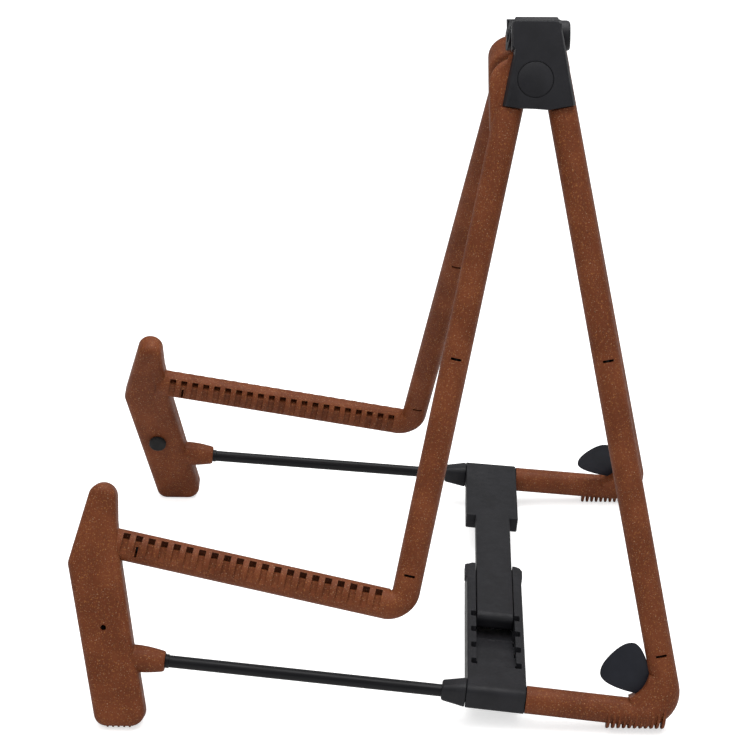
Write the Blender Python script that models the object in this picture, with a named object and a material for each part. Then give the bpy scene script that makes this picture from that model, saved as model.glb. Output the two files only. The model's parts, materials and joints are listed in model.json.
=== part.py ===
"""Folding guitar stand.

Two brown side frames stand in an A and are hinged at the top. Each frame is a
moulded tube loop over a bent steel wire, with a foot and an arm with
rest pockets at the front. A telescoping crossbar of two black pieces, one pivoting on each
lower wire, holds the frames apart and folds up between them.

Frame coordinates (millimetres): u runs from front to rear, v runs up along the
leaning frame plane and w runs outward, square to it. Lengths become metres
when an object is made.
"""
import math

import bmesh
import bpy
from mathutils import Vector

MM = 0.001

# Overall layout
HALF_SPREAD = 136.4        # frame plane to the middle, at the floor
LEAN = 0.354               # how far the plane leans inward per unit of height
ORIGIN_Y = 130.1           # middle of the whole stand, measured along u
TILT = math.atan(LEAN)
SIN_T = math.sin(TILT)
COS_T = math.cos(TILT)

# Side frame tube
TUBE_R = 7.1
ARM_HALF_HEIGHT = 7.95
ARM_HALF_WIDTH = 7.3
WIRE_R = 3.0
BORE_R = 3.35
GAP = 0.3
ARM_AXIS = (93.4, -0.2107)          # v at u = 0, slope
FRONT_LEG_AXIS = (132.1, 0.2034)    # u at v = 0, slope
REAR_LEG_AXIS = (284.0, -0.1925)    # u at v = 0, slope
LOWER_AXIS = (36.9, -0.1)           # v at u = 0, slope
APEX_V = 337.5
FRONT_BEND = (145.2, 62.75)
REAR_BEND = (282.3, 8.67)
TUBE_END_U = 208.35
ROD_END_U = 236.0

# Foot
FOOT_W0 = -6.0
FOOT_W1 = 9.0
FOOT_EDGE = 4.4
TOE_ARC = (6.3, 2.0, 7.0)           # centre v, centre w and radius of the tips
TOE_PITCH = 2.85
TOE_COUNT = 5
PAD_SPOT = (-8.3, 50.3)
PAD_R = 5.0
PAD_STEM_R = 1.2

# Arm pockets, slits and ribs
POCKET_COUNT = 21
POCKET_FIRST_U = 4.4
POCKET_LAST_U = 133.2
POCKET_WIDTH = 3.6
SLIT_LENGTH = 5.6
SLIT_WIDTH = 1.3
RIB_COUNT = 11
RIB_FIRST_U = 249.8
RIB_PITCH = 2.8
RIB_THICKNESS = 1.4
RIB_ARC = (9.4, -2.3, 8.3)          # centre v, centre w and radius

# Hub
HINGE_V = 354.7
HINGE_W = -19.1
BARREL_R = 7.6
PIN_R = 2.2
PIN_BORE_R = 2.5
KNUCKLE_U = (198.1, 222.1)
LUG_FRONT_U = (195.3, 197.3)
LUG_REAR_U = (222.9, 227.6)
CAP_SEAT_W = 4.0
CAP_FACE_W = 9.3
BADGE_SPOT = (209.4, 330.7)
BADGE_R = 9.2
FAR_CAP_TOP_V = 347.2      # the far cap slopes down towards its outside
NOSE_SPOT = (206.0, 330.5)
NOSE_R = 19.6
NOSE_V = (318.4, 344.6)
NOSE_W = (-16.2, 2.0)
SCREW_SPOTS = ((210.0, 321.5), (210.0, 329.5))

# Crossbar
BAR_Y = 193.0
BAR_SLOPE = math.atan(0.1)
ROD_X = 130.57
ROD_SKEW = 0.0334
BAR_TOP = 7.0
BAR_HALF_WIDTH = 15.2
CAVITY_HALF_WIDTH = 10.4
TONGUE_HALF_WIDTH = 9.6
CHANNEL_TIP_X = -1.0
FORK_END_X = 25.0
CAVITY_END_X = 113.0
TONGUE_TIP_X = 57.6
PLATE_END_X = -62.5
NOTCH_X = (58.9, 75.9, 92.9, 109.8)
NOTCH_LENGTH = 4.6
NOTCH_DEPTH = 2.4
SLEEVE_B = (-15.2, 15.1)
SLEEVE_BORE_R = 4.9
BUSH_R = 4.6
COLLAR_U = (165.2, 177.55)

# Plectrum
PICK_TIP = (272.8, 17.4)
PICK_LENGTH = 31.0
PICK_DIR = (-0.665, 0.747)
PICK_THICKNESS = 1.0

NEAR = 1
FAR = -1
SIDE_NAMES = {NEAR: "near", FAR: "far"}


# Scene, materials and object making
def clear_scene():
    """Take every object that is already in the scene out of it."""
    for obj in list(bpy.data.objects):
        bpy.data.objects.remove(obj, do_unlink=True)


def make_material(name, color, metallic, roughness):
    """Return a Principled BSDF material with the given look."""
    mat = bpy.data.materials.new(name)
    mat.use_nodes = True
    shader = mat.node_tree.nodes["Principled BSDF"]
    shader.inputs["Base Color"].default_value = (color[0], color[1], color[2], 1.0)
    shader.inputs["Metallic"].default_value = metallic
    shader.inputs["Roughness"].default_value = roughness
    mat.diffuse_color = (color[0], color[1], color[2], 1.0)
    return mat


LOOKS = {
    "composite": ((0.205, 0.062, 0.026), 0.0, 0.62),
    "black_plastic": ((0.022, 0.022, 0.025), 0.0, 0.5),
    "black_wire": ((0.012, 0.012, 0.013), 0.6, 0.38),
    "rubber": ((0.018, 0.018, 0.018), 0.0, 0.85),
    "pick": ((0.014, 0.014, 0.018), 0.0, 0.3),
    "steel": ((0.55, 0.55, 0.56), 1.0, 0.32),
}


def frame_point(u, v, w):
    """Turn frame coordinates of the near side into world millimetres."""
    x = HALF_SPREAD - SIN_T * v + COS_T * w
    y = u - ORIGIN_Y
    z = COS_T * v + SIN_T * w
    return Vector((x, y, z))


def bar_point(x, b, h):
    """Turn crossbar coordinates (along, across, up) into world millimetres."""
    z0 = (LOWER_AXIS[0] + LOWER_AXIS[1] * BAR_Y) * COS_T
    y = BAR_Y - ORIGIN_Y + b * math.cos(BAR_SLOPE) + h * math.sin(BAR_SLOPE)
    z = z0 - b * math.sin(BAR_SLOPE) + h * math.cos(BAR_SLOPE)
    return Vector((x, y, z))


def rod_frame():
    """Return the near rod's middle point and its along, up and out vectors."""
    mid = bar_point(ROD_X, 0.0, 0.0)
    along = Vector((ROD_SKEW, 1.0, -0.0943)).normalized()
    up = Vector((0.0, math.sin(BAR_SLOPE), math.cos(BAR_SLOPE)))
    up = (up - along * up.dot(along)).normalized()
    out = along.cross(up).normalized()
    return mid, along, up, out


def rod_point(b, out_by, up_by):
    """Return a world point given by its place along and round the near rod."""
    mid, along, up, out = rod_frame()
    return mid + along * b + out * out_by + up * up_by


def finish_mesh(bm, name, side, material, pivot, smooth_angle, hidden):
    """Turn a bmesh in world millimetres into a named object in metres."""
    for vert in bm.verts:
        vert.co.x *= side
        vert.co *= MM
        vert.co -= pivot
    bmesh.ops.remove_doubles(bm, verts=bm.verts, dist=0.00001)
    bmesh.ops.recalc_face_normals(bm, faces=bm.faces)
    mesh = bpy.data.meshes.new(name)
    bm.to_mesh(mesh)
    bm.free()
    obj = bpy.data.objects.new(name, mesh)
    obj.location = pivot
    bpy.context.scene.collection.objects.link(obj)
    mesh.materials.append(material)
    if smooth_angle > 0.0:
        mesh.shade_smooth()
        mesh.set_sharp_from_angle(angle=math.radians(smooth_angle))
    if hidden:
        obj.hide_render = True
        obj.display_type = 'WIRE'
    return obj


def combine(obj, other, operation):
    """Add or take away another closed shape with a live exact boolean."""
    mod = obj.modifiers.new(other.name, 'BOOLEAN')
    mod.operation = operation
    mod.object = other
    mod.solver = 'EXACT'


def clean_up(obj):
    """Join points that nearly touch."""
    weld = obj.modifiers.new("weld", 'WELD')
    weld.merge_threshold = 0.00001


# Shape helpers, all in millimetres
def loft(bm, rings):
    """Bridge closed rings of equal length and close both ends."""
    rows = [[bm.verts.new(point) for point in ring] for ring in rings]
    count = len(rows[0])
    for lower, upper in zip(rows, rows[1:]):
        for k in range(count):
            j = (k + 1) % count
            bm.faces.new((lower[k], lower[j], upper[j], upper[k]))
    bm.faces.new(rows[0])
    bm.faces.new(rows[-1])


def circle_ring(center, axis_a, axis_b, radius_a, radius_b, count):
    """Return the points of an ellipse lying along two unit vectors."""
    points = []
    for k in range(count):
        angle = 2.0 * math.pi * k / count
        points.append(center + axis_a * (radius_a * math.cos(angle))
                      + axis_b * (radius_b * math.sin(angle)))
    return points


def rounded_ring(center, axis_a, axis_b, half_a, half_b, corner, steps):
    """Return a rectangle with rounded corners lying along two unit vectors."""
    points = []
    for quarter in range(4):
        sign_a = (1, -1, -1, 1)[quarter]
        sign_b = (1, 1, -1, -1)[quarter]
        for k in range(steps + 1):
            angle = math.pi / 2 * (quarter + k / steps)
            off_a = sign_a * (half_a - corner) + corner * math.cos(angle)
            off_b = sign_b * (half_b - corner) + corner * math.sin(angle)
            points.append(center + axis_a * off_a + axis_b * off_b)
    return points


def fillet_path(corners, radii, steps):
    """Round the inner corners of a flat polyline with circular arcs."""
    path = [Vector(corners[0])]
    for i in range(1, len(corners) - 1):
        here = Vector(corners[i])
        back = (Vector(corners[i - 1]) - here).normalized()
        ahead = (Vector(corners[i + 1]) - here).normalized()
        half = back.angle(ahead) / 2.0
        reach = radii[i - 1] / math.tan(half)
        center = here + (back + ahead).normalized() * (radii[i - 1] / math.sin(half))
        start = here + back * reach - center
        sweep = math.pi - 2.0 * half
        sign = 1.0 if back.x * ahead.y - back.y * ahead.x < 0.0 else -1.0
        for k in range(steps + 1):
            turn = sign * sweep * k / steps
            cos_k = math.cos(turn)
            sin_k = math.sin(turn)
            path.append(center + Vector((start.x * cos_k - start.y * sin_k,
                                         start.x * sin_k + start.y * cos_k)))
    path.append(Vector(corners[-1]))
    return path


def tube(bm, path, sizes, count):
    """Sweep an ellipse along a path in the frame plane, mitred at each turn.

    sizes gives the in-plane and the outward radius for each path point.
    """
    out = frame_point(0, 0, 1) - frame_point(0, 0, 0)
    rings = []
    for i, spot in enumerate(path):
        before = spot - path[i - 1] if i > 0 else path[1] - spot
        after = path[i + 1] - spot if i < len(path) - 1 else before
        before = before.normalized()
        after = after.normalized()
        along = (before + after).normalized()
        stretch = 1.0 / max(0.5, along.dot(after))
        across = frame_point(-along.y, along.x, 0) - frame_point(0, 0, 0)
        center = frame_point(spot.x, spot.y, 0)
        rings.append(circle_ring(center, across, out, sizes[i][0] * stretch,
                                 sizes[i][1], count))
    loft(bm, rings)


def prism(bm, outline, w0, w1, edge=0.0, segments=2):
    """Extrude a flat outline from w0 to w1, with both rims rounded by edge."""
    low = [bm.verts.new(frame_point(u, v, w0)) for u, v in outline]
    face = bm.faces.new(low)
    made = bmesh.ops.extrude_face_region(bm, geom=[face])
    top = [item for item in made["geom"] if isinstance(item, bmesh.types.BMVert)]
    shift = frame_point(0, 0, w1) - frame_point(0, 0, w0)
    bmesh.ops.translate(bm, verts=top, vec=shift)
    if edge > 0.0:
        rims = set()
        lid = [item for item in made["geom"] if isinstance(item, bmesh.types.BMFace)]
        for flat in [face] + lid:
            rims.update(flat.edges)
        bmesh.ops.bevel(bm, geom=list(rims), offset=edge, segments=segments,
                        profile=0.5, affect='EDGES', clamp_overlap=True)


def bar_prism(bm, outline, h0, h1):
    """Extrude a plan outline (along, across) of the crossbar from h0 to h1."""
    loft(bm, [[bar_point(x, b, h) for x, b in outline] for h in (h0, h1)])


def cylinder(bm, start, end, radius0, radius1, count):
    """Make a closed round piece between two world points."""
    axis = (end - start).normalized()
    side = axis.orthogonal().normalized()
    other = axis.cross(side)
    loft(bm, [circle_ring(start, side, other, radius0, radius0, count),
              circle_ring(end, side, other, radius1, radius1, count)])


def lathe(bm, spot, profile, count):
    """Turn a (w, radius) profile about a line square to the frame plane."""
    across = frame_point(1, 0, 0) - frame_point(0, 0, 0)
    up = frame_point(0, 1, 0) - frame_point(0, 0, 0)
    loft(bm, [circle_ring(frame_point(spot[0], spot[1], w), across, up, r, r, count)
              for w, r in profile])


def box(bm, center, axes, halves):
    """Make a box from its centre, three unit vectors and three half sizes."""
    rings = []
    for sign in (-1, 1):
        ring = []
        for a, b in ((-1, -1), (1, -1), (1, 1), (-1, 1)):
            ring.append(center + axes[0] * (a * halves[0]) + axes[1] * (b * halves[1])
                        + axes[2] * (sign * halves[2]))
        rings.append(ring)
    loft(bm, rings)


def plane_vectors():
    """Return the world directions of u, v and w."""
    zero = frame_point(0, 0, 0)
    return (frame_point(1, 0, 0) - zero, frame_point(0, 1, 0) - zero,
            frame_point(0, 0, 1) - zero)


def arm_v(u):
    """Height of the arm's axis at u."""
    return ARM_AXIS[0] + ARM_AXIS[1] * u


def lower_v(u):
    """Height of the lower tube's and rod's axis at u."""
    return LOWER_AXIS[0] + LOWER_AXIS[1] * u


def leg_u(axis, v):
    """Place of a leg's axis at height v."""
    return axis[0] + axis[1] * v


def loop_corners(first_u, last_u):
    """Return the corners of the frame loop from the foot round to the rod."""
    return [(first_u, arm_v(first_u)), FRONT_BEND,
            (leg_u(FRONT_LEG_AXIS, APEX_V), APEX_V),
            (leg_u(REAR_LEG_AXIS, APEX_V), APEX_V),
            REAR_BEND, (last_u, lower_v(last_u))]


LOOP_RADII = (8.2, 7.6, 7.6, 11.2)


def loop_sizes(path):
    """Give the arm its taller section and the legs a round one."""
    sizes = []
    for spot in path:
        if spot.x < FRONT_BEND[0] - 2.0 and spot.y < 110.0:
            share = 1.0 if spot.x < 132.0 else 0.5
        else:
            share = 0.0
        sizes.append((TUBE_R + share * (ARM_HALF_HEIGHT - TUBE_R),
                      TUBE_R + share * (ARM_HALF_WIDTH - TUBE_R)))
    return sizes


# Side frame
def arc_points(center, radius, start, stop, count):
    """Return points on a flat arc, angles in degrees."""
    points = []
    for k in range(count):
        angle = math.radians(start + (stop - start) * k / (count - 1))
        points.append((center[0] + radius * math.cos(angle),
                       center[1] + radius * math.sin(angle)))
    return points


def foot_outline():
    """Side view of the foot, without the arm, the socket and the toes."""
    outline = arc_points((-8.4, 117.9), 7.3, 2.0, 158.0, 8)
    outline += fillet_corner((-15.6, 115.3), (-26.2, 84.5), (-13.0, 8.5), 7.0)
    outline += arc_points((-7.1, 9.6), 6.0, 190.0, 230.0, 4)
    outline += arc_points((0.0, 19.6), 18.3, 238.0, 303.0, 7)
    outline += arc_points((7.4, 9.8), 6.0, 312.0, 369.0, 5)
    outline += [(10.4, 28.5), (7.6, 41.2), (1.3, 83.0), (-0.9, 105.0)]
    return outline


def fillet_corner(before, corner, after, radius):
    """Return four points that round one outline corner."""
    path = fillet_path([before, corner, after], [radius], 3)
    return [(point.x, point.y) for point in path[1:-1]]


def build_foot(side, mat):
    """Foot blank with rounded rims."""
    bm = bmesh.new()
    prism(bm, foot_outline(), FOOT_W0, FOOT_W1, FOOT_EDGE)
    name = SIDE_NAMES[side] + "_foot_blank"
    return finish_mesh(bm, name, side, mat, Vector(), 40, True)


def build_socket(side, mat):
    """Tapered socket that takes the front end of the lower wire."""
    bm = bmesh.new()
    along = (Vector((1.0, LOWER_AXIS[1]))).normalized()
    u_dir, v_dir, w_dir = plane_vectors()
    across = u_dir * -along.y + v_dir * along.x
    rings = []
    for u, radius, drop in ((2.0, 6.7, 0.8), (12.0, 6.6, 0.8), (16.0, 6.3, 0.7),
                            (22.3, 4.9, 0.5), (23.5, 4.3, 0.5)):
        center = frame_point(u, lower_v(u) - drop, 0.6)
        rings.append(circle_ring(center, across, w_dir, radius, radius, 16))
    loft(bm, rings)
    name = SIDE_NAMES[side] + "_socket_blank"
    return finish_mesh(bm, name, side, mat, Vector(), 40, True)


def toe_wedge(bm, u, half):
    """One floor tooth with its tip on an arc across the width of the foot."""
    center_v, center_w, radius = TOE_ARC
    rings = []
    for degrees in (-62, -42, -22, -2, 18, 38, 58):
        angle = math.radians(degrees)
        w = center_w + (radius - 0.6) * math.sin(angle)
        tip = center_v - radius * math.cos(angle)
        rings.append([frame_point(u - half, tip + 4.4, w),
                      frame_point(u + half, tip + 4.4, w),
                      frame_point(u + 0.25, tip, w), frame_point(u - 0.25, tip, w)])
    loft(bm, rings)


def build_teeth(side, mat):
    """Five teeth under the foot and eleven ribs under the rear corner."""
    bm = bmesh.new()
    for i in range(TOE_COUNT):
        u = (i - (TOE_COUNT - 1) / 2) * TOE_PITCH
        toe_wedge(bm, u, 1.25)
    u_dir, v_dir, w_dir = plane_vectors()
    along = Vector((1.0, LOWER_AXIS[1])).normalized()
    forward = u_dir * along.x + v_dir * along.y
    across = u_dir * -along.y + v_dir * along.x
    for i in range(RIB_COUNT):
        u = RIB_FIRST_U + i * RIB_PITCH
        center = frame_point(u, RIB_ARC[0], RIB_ARC[1])
        rings = []
        for shift in (-RIB_THICKNESS / 2, RIB_THICKNESS / 2):
            rings.append(circle_ring(center + forward * shift, across, w_dir,
                                     RIB_ARC[2], RIB_ARC[2], 20))
        loft(bm, rings)
    name = SIDE_NAMES[side] + "_teeth_blank"
    return finish_mesh(bm, name, side, mat, Vector(), 40, True)


def build_webs(side, mat):
    """Web that joins the two legs and the filled inner rear corner."""
    bm = bmesh.new()
    web = [(190.9, 317.6), (228.6, 317.6), (223.6, 343.4), (196.0, 343.4)]
    prism(bm, web, -6.3, 5.2)
    center = (258.6, 27.4)
    corner = arc_points(center, 13.2, -84.0, 4.0, 9)
    corner += [(275.6, 30.0), (281.2, 15.4), (275.6, 9.2), (260.4, 10.4)]
    prism(bm, corner, -5.6, 5.6, 1.6, 1)
    name = SIDE_NAMES[side] + "_web_blank"
    return finish_mesh(bm, name, side, mat, Vector(), 40, True)


def nose_outline():
    """Round boss with a flat top and bottom that bulges past the front leg."""
    top = math.degrees(math.asin((NOSE_V[1] - NOSE_SPOT[1]) / NOSE_R))
    low = math.degrees(math.asin((NOSE_V[0] - NOSE_SPOT[1]) / NOSE_R))
    left = NOSE_SPOT[0] - NOSE_R
    outline = arc_points(NOSE_SPOT, NOSE_R, low, top, 9)
    outline += arc_points(NOSE_SPOT, NOSE_R, 180.0 - top, 178.0, 7)
    outline += [(left + 0.3, 322.0), (left + 1.1, NOSE_V[0])]
    return outline


def build_nose(side, mat):
    """Boss on the inner face of the frame's top, where the far half closes."""
    bm = bmesh.new()
    prism(bm, nose_outline(), NOSE_W[0], NOSE_W[1], 3.2, 3)
    name = SIDE_NAMES[side] + "_nose_blank"
    return finish_mesh(bm, name, side, mat, Vector(), 40, True)


def build_bore(side, mat):
    """Channel for the wire all the way round the loop."""
    bm = bmesh.new()
    corners = loop_corners(-6.6, 18.0)
    corners[-1] = (-4.6, lower_v(-4.6))
    path = fillet_path(corners, LOOP_RADII, 4)
    tube(bm, path, [(BORE_R, BORE_R)] * len(path), 12)
    name = SIDE_NAMES[side] + "_wire_bore"
    return finish_mesh(bm, name, side, mat, Vector(), 0, True)


def pocket(bm, u, face):
    """One scooped rest pocket in the arm; face is 1 outside and -1 inside."""
    slope = math.atan(ARM_AXIS[1])
    along = Vector((math.cos(slope), math.sin(slope)))
    up = Vector((-along.y, along.x))
    section = ((5.9, 9.5), (5.9, 2.5), (3.5, 2.5), (-4.0, 9.5))
    rings = []
    for shift in (-POCKET_WIDTH / 2, POCKET_WIDTH / 2):
        ring = []
        for rise, w in section:
            spot = Vector((u, arm_v(u))) + along * shift + up * rise
            ring.append(frame_point(spot.x, spot.y, face * w))
        rings.append(ring)
    loft(bm, rings)


def slit(bm, spot, axis_dir, face):
    """One short slit across the tube, deep enough to show the wire."""
    u_dir, v_dir, w_dir = plane_vectors()
    along = u_dir * axis_dir.x + v_dir * axis_dir.y
    across = u_dir * -axis_dir.y + v_dir * axis_dir.x
    center = frame_point(spot[0], spot[1], face * 6.0)
    box(bm, center, (across, along, w_dir),
        (SLIT_LENGTH / 2, SLIT_WIDTH / 2, 3.6))


def build_cuts(side, mat):
    """Slits, the pad hole and the screw holes."""
    bm = bmesh.new()
    front = Vector((FRONT_LEG_AXIS[1], 1.0)).normalized()
    rear = Vector((REAR_LEG_AXIS[1], 1.0)).normalized()
    arm = Vector((1.0, ARM_AXIS[1])).normalized()
    slits = []
    for v in (190.1, 79.7):
        slits.append(((leg_u(FRONT_LEG_AXIS, v) + 0.3, v), front))
    for v in (190.0, 40.4):
        slits.append(((leg_u(REAR_LEG_AXIS, v) + 0.3, v), rear))
    slits.append(((9.2, arm_v(9.2) - 1.3), arm))
    for face in (1, -1):
        for spot, axis_dir in slits:
            slit(bm, spot, axis_dir, face)
    lathe(bm, PAD_SPOT, ((-12.0, 1.45), (14.0, 1.45)), 12)
    for spot in SCREW_SPOTS:
        lathe(bm, spot, ((-20.0, 3.1), (-12.0, 3.1), (-11.9, 1.6), (9.0, 1.6)), 12)
    name = SIDE_NAMES[side] + "_small_cuts"
    return finish_mesh(bm, name, side, mat, Vector(), 0, True)


def build_pockets(side, mat):
    """Row of rest pockets on both faces of the arm."""
    bm = bmesh.new()
    step = (POCKET_LAST_U - POCKET_FIRST_U) / (POCKET_COUNT - 1)
    for face in (1, -1):
        for i in range(POCKET_COUNT):
            pocket(bm, POCKET_FIRST_U + i * step, face)
    name = SIDE_NAMES[side] + "_pockets"
    return finish_mesh(bm, name, side, mat, Vector(), 0, True)


def seat_outline(grow):
    """Outline of the flat seat under the cap, enlarged by grow."""
    return [(184.0, 318.9 - grow), (201.5, 315.8 - grow), (209.0, 315.5 - grow),
            (216.5, 315.0 - grow), (234.0, 319.0 - grow), (232.0, 352.0), (186.0, 352.0)]


def build_trims(side, mat):
    """Seat for the cap, the plectrum slot and the level cut at the floor."""
    bm = bmesh.new()
    prism(bm, seat_outline(GAP), CAP_SEAT_W, 14.0)
    outline = grow_outline(pick_outline(), 0.35)
    prism(bm, outline, -PICK_THICKNESS / 2 - 0.3, PICK_THICKNESS / 2 + 0.3)
    box(bm, Vector((HALF_SPREAD, 0, -10)), (Vector((1, 0, 0)), Vector((0, 1, 0)),
        Vector((0, 0, 1))), (40, 200, 10))
    name = SIDE_NAMES[side] + "_trims"
    return finish_mesh(bm, name, side, mat, Vector(), 0, True)


def build_frame(side, mats):
    """Whole brown side: tube loop, foot, webs, nose, teeth and every cut."""
    mat = mats["composite"]
    bm = bmesh.new()
    path = fillet_path(loop_corners(-6.0, TUBE_END_U), LOOP_RADII, 4)
    tube(bm, path, loop_sizes(path), 16)
    frame = finish_mesh(bm, SIDE_NAMES[side] + "_frame", side, mat, Vector(), 35, False)
    for part in (build_foot(side, mat), build_socket(side, mat), build_webs(side, mat),
                 build_nose(side, mat), build_teeth(side, mat)):
        combine(frame, part, 'UNION')
    for part in (build_trims(side, mat), build_bore(side, mat), build_cuts(side, mat),
                 build_pockets(side, mat)):
        combine(frame, part, 'DIFFERENCE')
    clean_up(frame)
    return frame


def build_wire(side, mats):
    """Bent steel wire inside the tube and the straight rod along the floor."""
    bm = bmesh.new()
    path = fillet_path(loop_corners(-5.8, ROD_END_U + 1.0), LOOP_RADII, 4)
    tube(bm, path, [(WIRE_R, WIRE_R)] * len(path), 12)
    finish_mesh(bm, SIDE_NAMES[side] + "_wire_core", side, mats["black_wire"],
                Vector(), 40, False)
    bm = bmesh.new()
    ends = [Vector((u, lower_v(u))) for u in (-3.8, -3.3, ROD_END_U - 0.5, ROD_END_U)]
    tube(bm, ends, [(WIRE_R - 0.5, WIRE_R - 0.5), (WIRE_R, WIRE_R),
                    (WIRE_R, WIRE_R), (WIRE_R - 0.5, WIRE_R - 0.5)], 16)
    finish_mesh(bm, SIDE_NAMES[side] + "_lower_rod", side, mats["black_wire"],
                Vector(), 30, False)


def build_foot_pad(side, mats):
    """Black bumper with its stem in the foot."""
    bm = bmesh.new()
    lathe(bm, PAD_SPOT, ((FOOT_W0 - 3.3, 3.9), (FOOT_W0 - 2.6, PAD_R),
                         (FOOT_W0 - GAP, PAD_R), (FOOT_W0 - GAP + 0.05, PAD_STEM_R),
                         (5.0, PAD_STEM_R)), 16)
    return finish_mesh(bm, SIDE_NAMES[side] + "_foot_pad", side, mats["rubber"],
                       Vector(), 40, False)


# Plectrum
def pick_outline():
    """Rounded triangle with its tip in the rear corner of the frame."""
    corners = ((0.0, 0.0), (9.3, 15.0), (14.2, 26.5), (9.0, 30.6), (0.0, 31.6),
               (-9.0, 30.6), (-14.2, 26.5), (-9.3, 15.0))
    points = [Vector(corner) for corner in corners]
    for _ in range(2):
        smoother = []
        for i, point in enumerate(points):
            ahead = points[(i + 1) % len(points)]
            smoother.append(point.lerp(ahead, 0.25))
            smoother.append(point.lerp(ahead, 0.75))
        points = smoother
    along = Vector(PICK_DIR).normalized()
    across = Vector((-along.y, along.x))
    scale = PICK_LENGTH / 31.0
    result = []
    for point in points:
        spot = Vector(PICK_TIP) + (across * point.x + along * point.y) * scale
        result.append((spot.x, spot.y))
    return result


def grow_outline(outline, amount):
    """Push every outline point away from the middle by a set amount."""
    middle = Vector((sum(p[0] for p in outline) / len(outline),
                     sum(p[1] for p in outline) / len(outline)))
    result = []
    for point in outline:
        away = Vector(point) - middle
        moved = Vector(point) + away.normalized() * amount
        result.append((moved.x, moved.y))
    return result


def build_pick(side, mats):
    """Thin plectrum held by its tip."""
    bm = bmesh.new()
    prism(bm, pick_outline(), -PICK_THICKNESS / 2, PICK_THICKNESS / 2)
    pivot = frame_point(PICK_TIP[0], PICK_TIP[1], 0) * MM
    pivot.x *= side
    return finish_mesh(bm, SIDE_NAMES[side] + "_plectrum", side, mats["pick"],
                       pivot, 40, False)


# Hub
def cap_plate(bm, side):
    """Outer cap plate, wider at its seat than at its face."""
    face = ((195.2, 317.2), (201.5, 316.3), (209.0, 316.1), (216.5, 315.6),
            (228.2, 317.8), (225.4, 331.5), (223.2, 345.5), (221.0, 358.4),
            (219.6, 359.6), (199.0, 359.6), (197.9, 358.4), (198.2, 347.5),
            (199.8, 345.2), (197.6, 331.5))
    shell = ((193.0, 317.7), (201.5, 316.3), (209.0, 316.1), (216.5, 315.6),
             (229.8, 318.2), (227.2, 331.5), (224.6, 345.5), (222.2, 358.4),
             (221.0, 360.3), (198.2, 360.3), (197.2, 358.4), (197.2, 347.5),
             (198.6, 345.2), (195.6, 331.5))
    if side == FAR:
        face = face[:7] + ((222.2, FAR_CAP_TOP_V), (200.6, FAR_CAP_TOP_V)) + face[12:]
        shell = shell[:7] + ((223.6, FAR_CAP_TOP_V), (199.4, FAR_CAP_TOP_V)) + shell[12:]
    rings = []
    for w, share in ((CAP_SEAT_W + GAP, 0.0), (7.6, 0.55), (8.9, 0.85),
                     (CAP_FACE_W, 1.15)):
        ring = []
        for wide, slim in zip(shell, face):
            u = wide[0] + (slim[0] - wide[0]) * share
            v = wide[1] + (slim[1] - wide[1]) * share
            ring.append(frame_point(u, v, w))
        rings.append(ring)
    loft(bm, rings)


def hub_prism(bm, section, u0, u1):
    """Extrude a (v, w) section of the hub along the hinge direction."""
    loft(bm, [[frame_point(u, v, w) for v, w in section] for u in (u0, u1)])


def barrel_arc(radius, start, stop, count):
    """Points round the hinge line, from the top over the inner side."""
    points = []
    for k in range(count + 1):
        angle = math.radians(start + (stop - start) * k / count)
        points.append((HINGE_V + radius * math.cos(angle),
                       HINGE_W - radius * math.sin(angle)))
    return points


def build_cap(side, mats):
    """Black cap: outer plate, top block and the hinge barrel or its lugs."""
    mat = mats["black_plastic"]
    name = SIDE_NAMES[side] + "_cap"
    bm = bmesh.new()
    cap_plate(bm, side)
    cap = finish_mesh(bm, name, side, mat, Vector(), 30, False)
    barrel = tuple(barrel_arc(BARREL_R, -30.0, 225.0, 16))
    bm = bmesh.new()
    if side == NEAR:
        section = barrel + ((345.6, -9.6), (345.6, 8.0), (359.8, 7.6), (361.2, 6.2))
        hub_prism(bm, section, KNUCKLE_U[0], KNUCKLE_U[1])
    else:
        section = ((345.6, 8.0), (346.6, 8.0), (FAR_CAP_TOP_V, 6.6), (358.3, -10.4),
                   (345.6, -10.4))
        hub_prism(bm, section, LUG_FRONT_U[0] + 0.4, LUG_REAR_U[0] + 0.7)
    block = finish_mesh(bm, name + "_block", side, mat, Vector(), 30, True)
    combine(cap, block, 'UNION')
    if side == FAR:
        section = barrel + ((347.6, -6.5), (355.7, -6.5))
        for label, span in (("_front_lug", LUG_FRONT_U), ("_rear_lug", LUG_REAR_U)):
            bm = bmesh.new()
            hub_prism(bm, section, span[0], span[1])
            lug = finish_mesh(bm, name + label, side, mat, Vector(), 30, True)
            combine(cap, lug, 'UNION')
    bm = bmesh.new()
    hub_prism(bm, ring_section(PIN_BORE_R, 16), 190.0, 235.0)
    pin_hole = finish_mesh(bm, name + "_pin_hole", side, mat, Vector(), 0, True)
    combine(cap, pin_hole, 'DIFFERENCE')
    bm = bmesh.new()
    lathe(bm, BADGE_SPOT, ((CAP_FACE_W - 1.1, BADGE_R), (14.0, BADGE_R)), 32)
    for spot in SCREW_SPOTS:
        lathe(bm, spot, ((0.0, 1.5), (7.4, 1.5)), 12)
    if side == FAR:
        hub_prism(bm, ring_section(3.5, 16), 190.0, LUG_FRONT_U[0] + 1.1)
        hub_prism(bm, ring_section(3.5, 16), LUG_REAR_U[1] - 1.3, 235.0)
    recess = finish_mesh(bm, name + "_recess", side, mat, Vector(), 0, True)
    combine(cap, recess, 'DIFFERENCE')
    return cap


def ring_section(radius, count):
    """Circle about the hinge line, drawn in v and w."""
    points = []
    for k in range(count):
        angle = 2.0 * math.pi * k / count
        points.append((HINGE_V + radius * math.cos(angle),
                       HINGE_W + radius * math.sin(angle)))
    return points


def hinge_round(bm, u0, u1, radius, count):
    """Solid round piece on the hinge line."""
    cylinder(bm, frame_point(u0, HINGE_V, HINGE_W), frame_point(u1, HINGE_V, HINGE_W),
             radius, radius, count)


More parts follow.
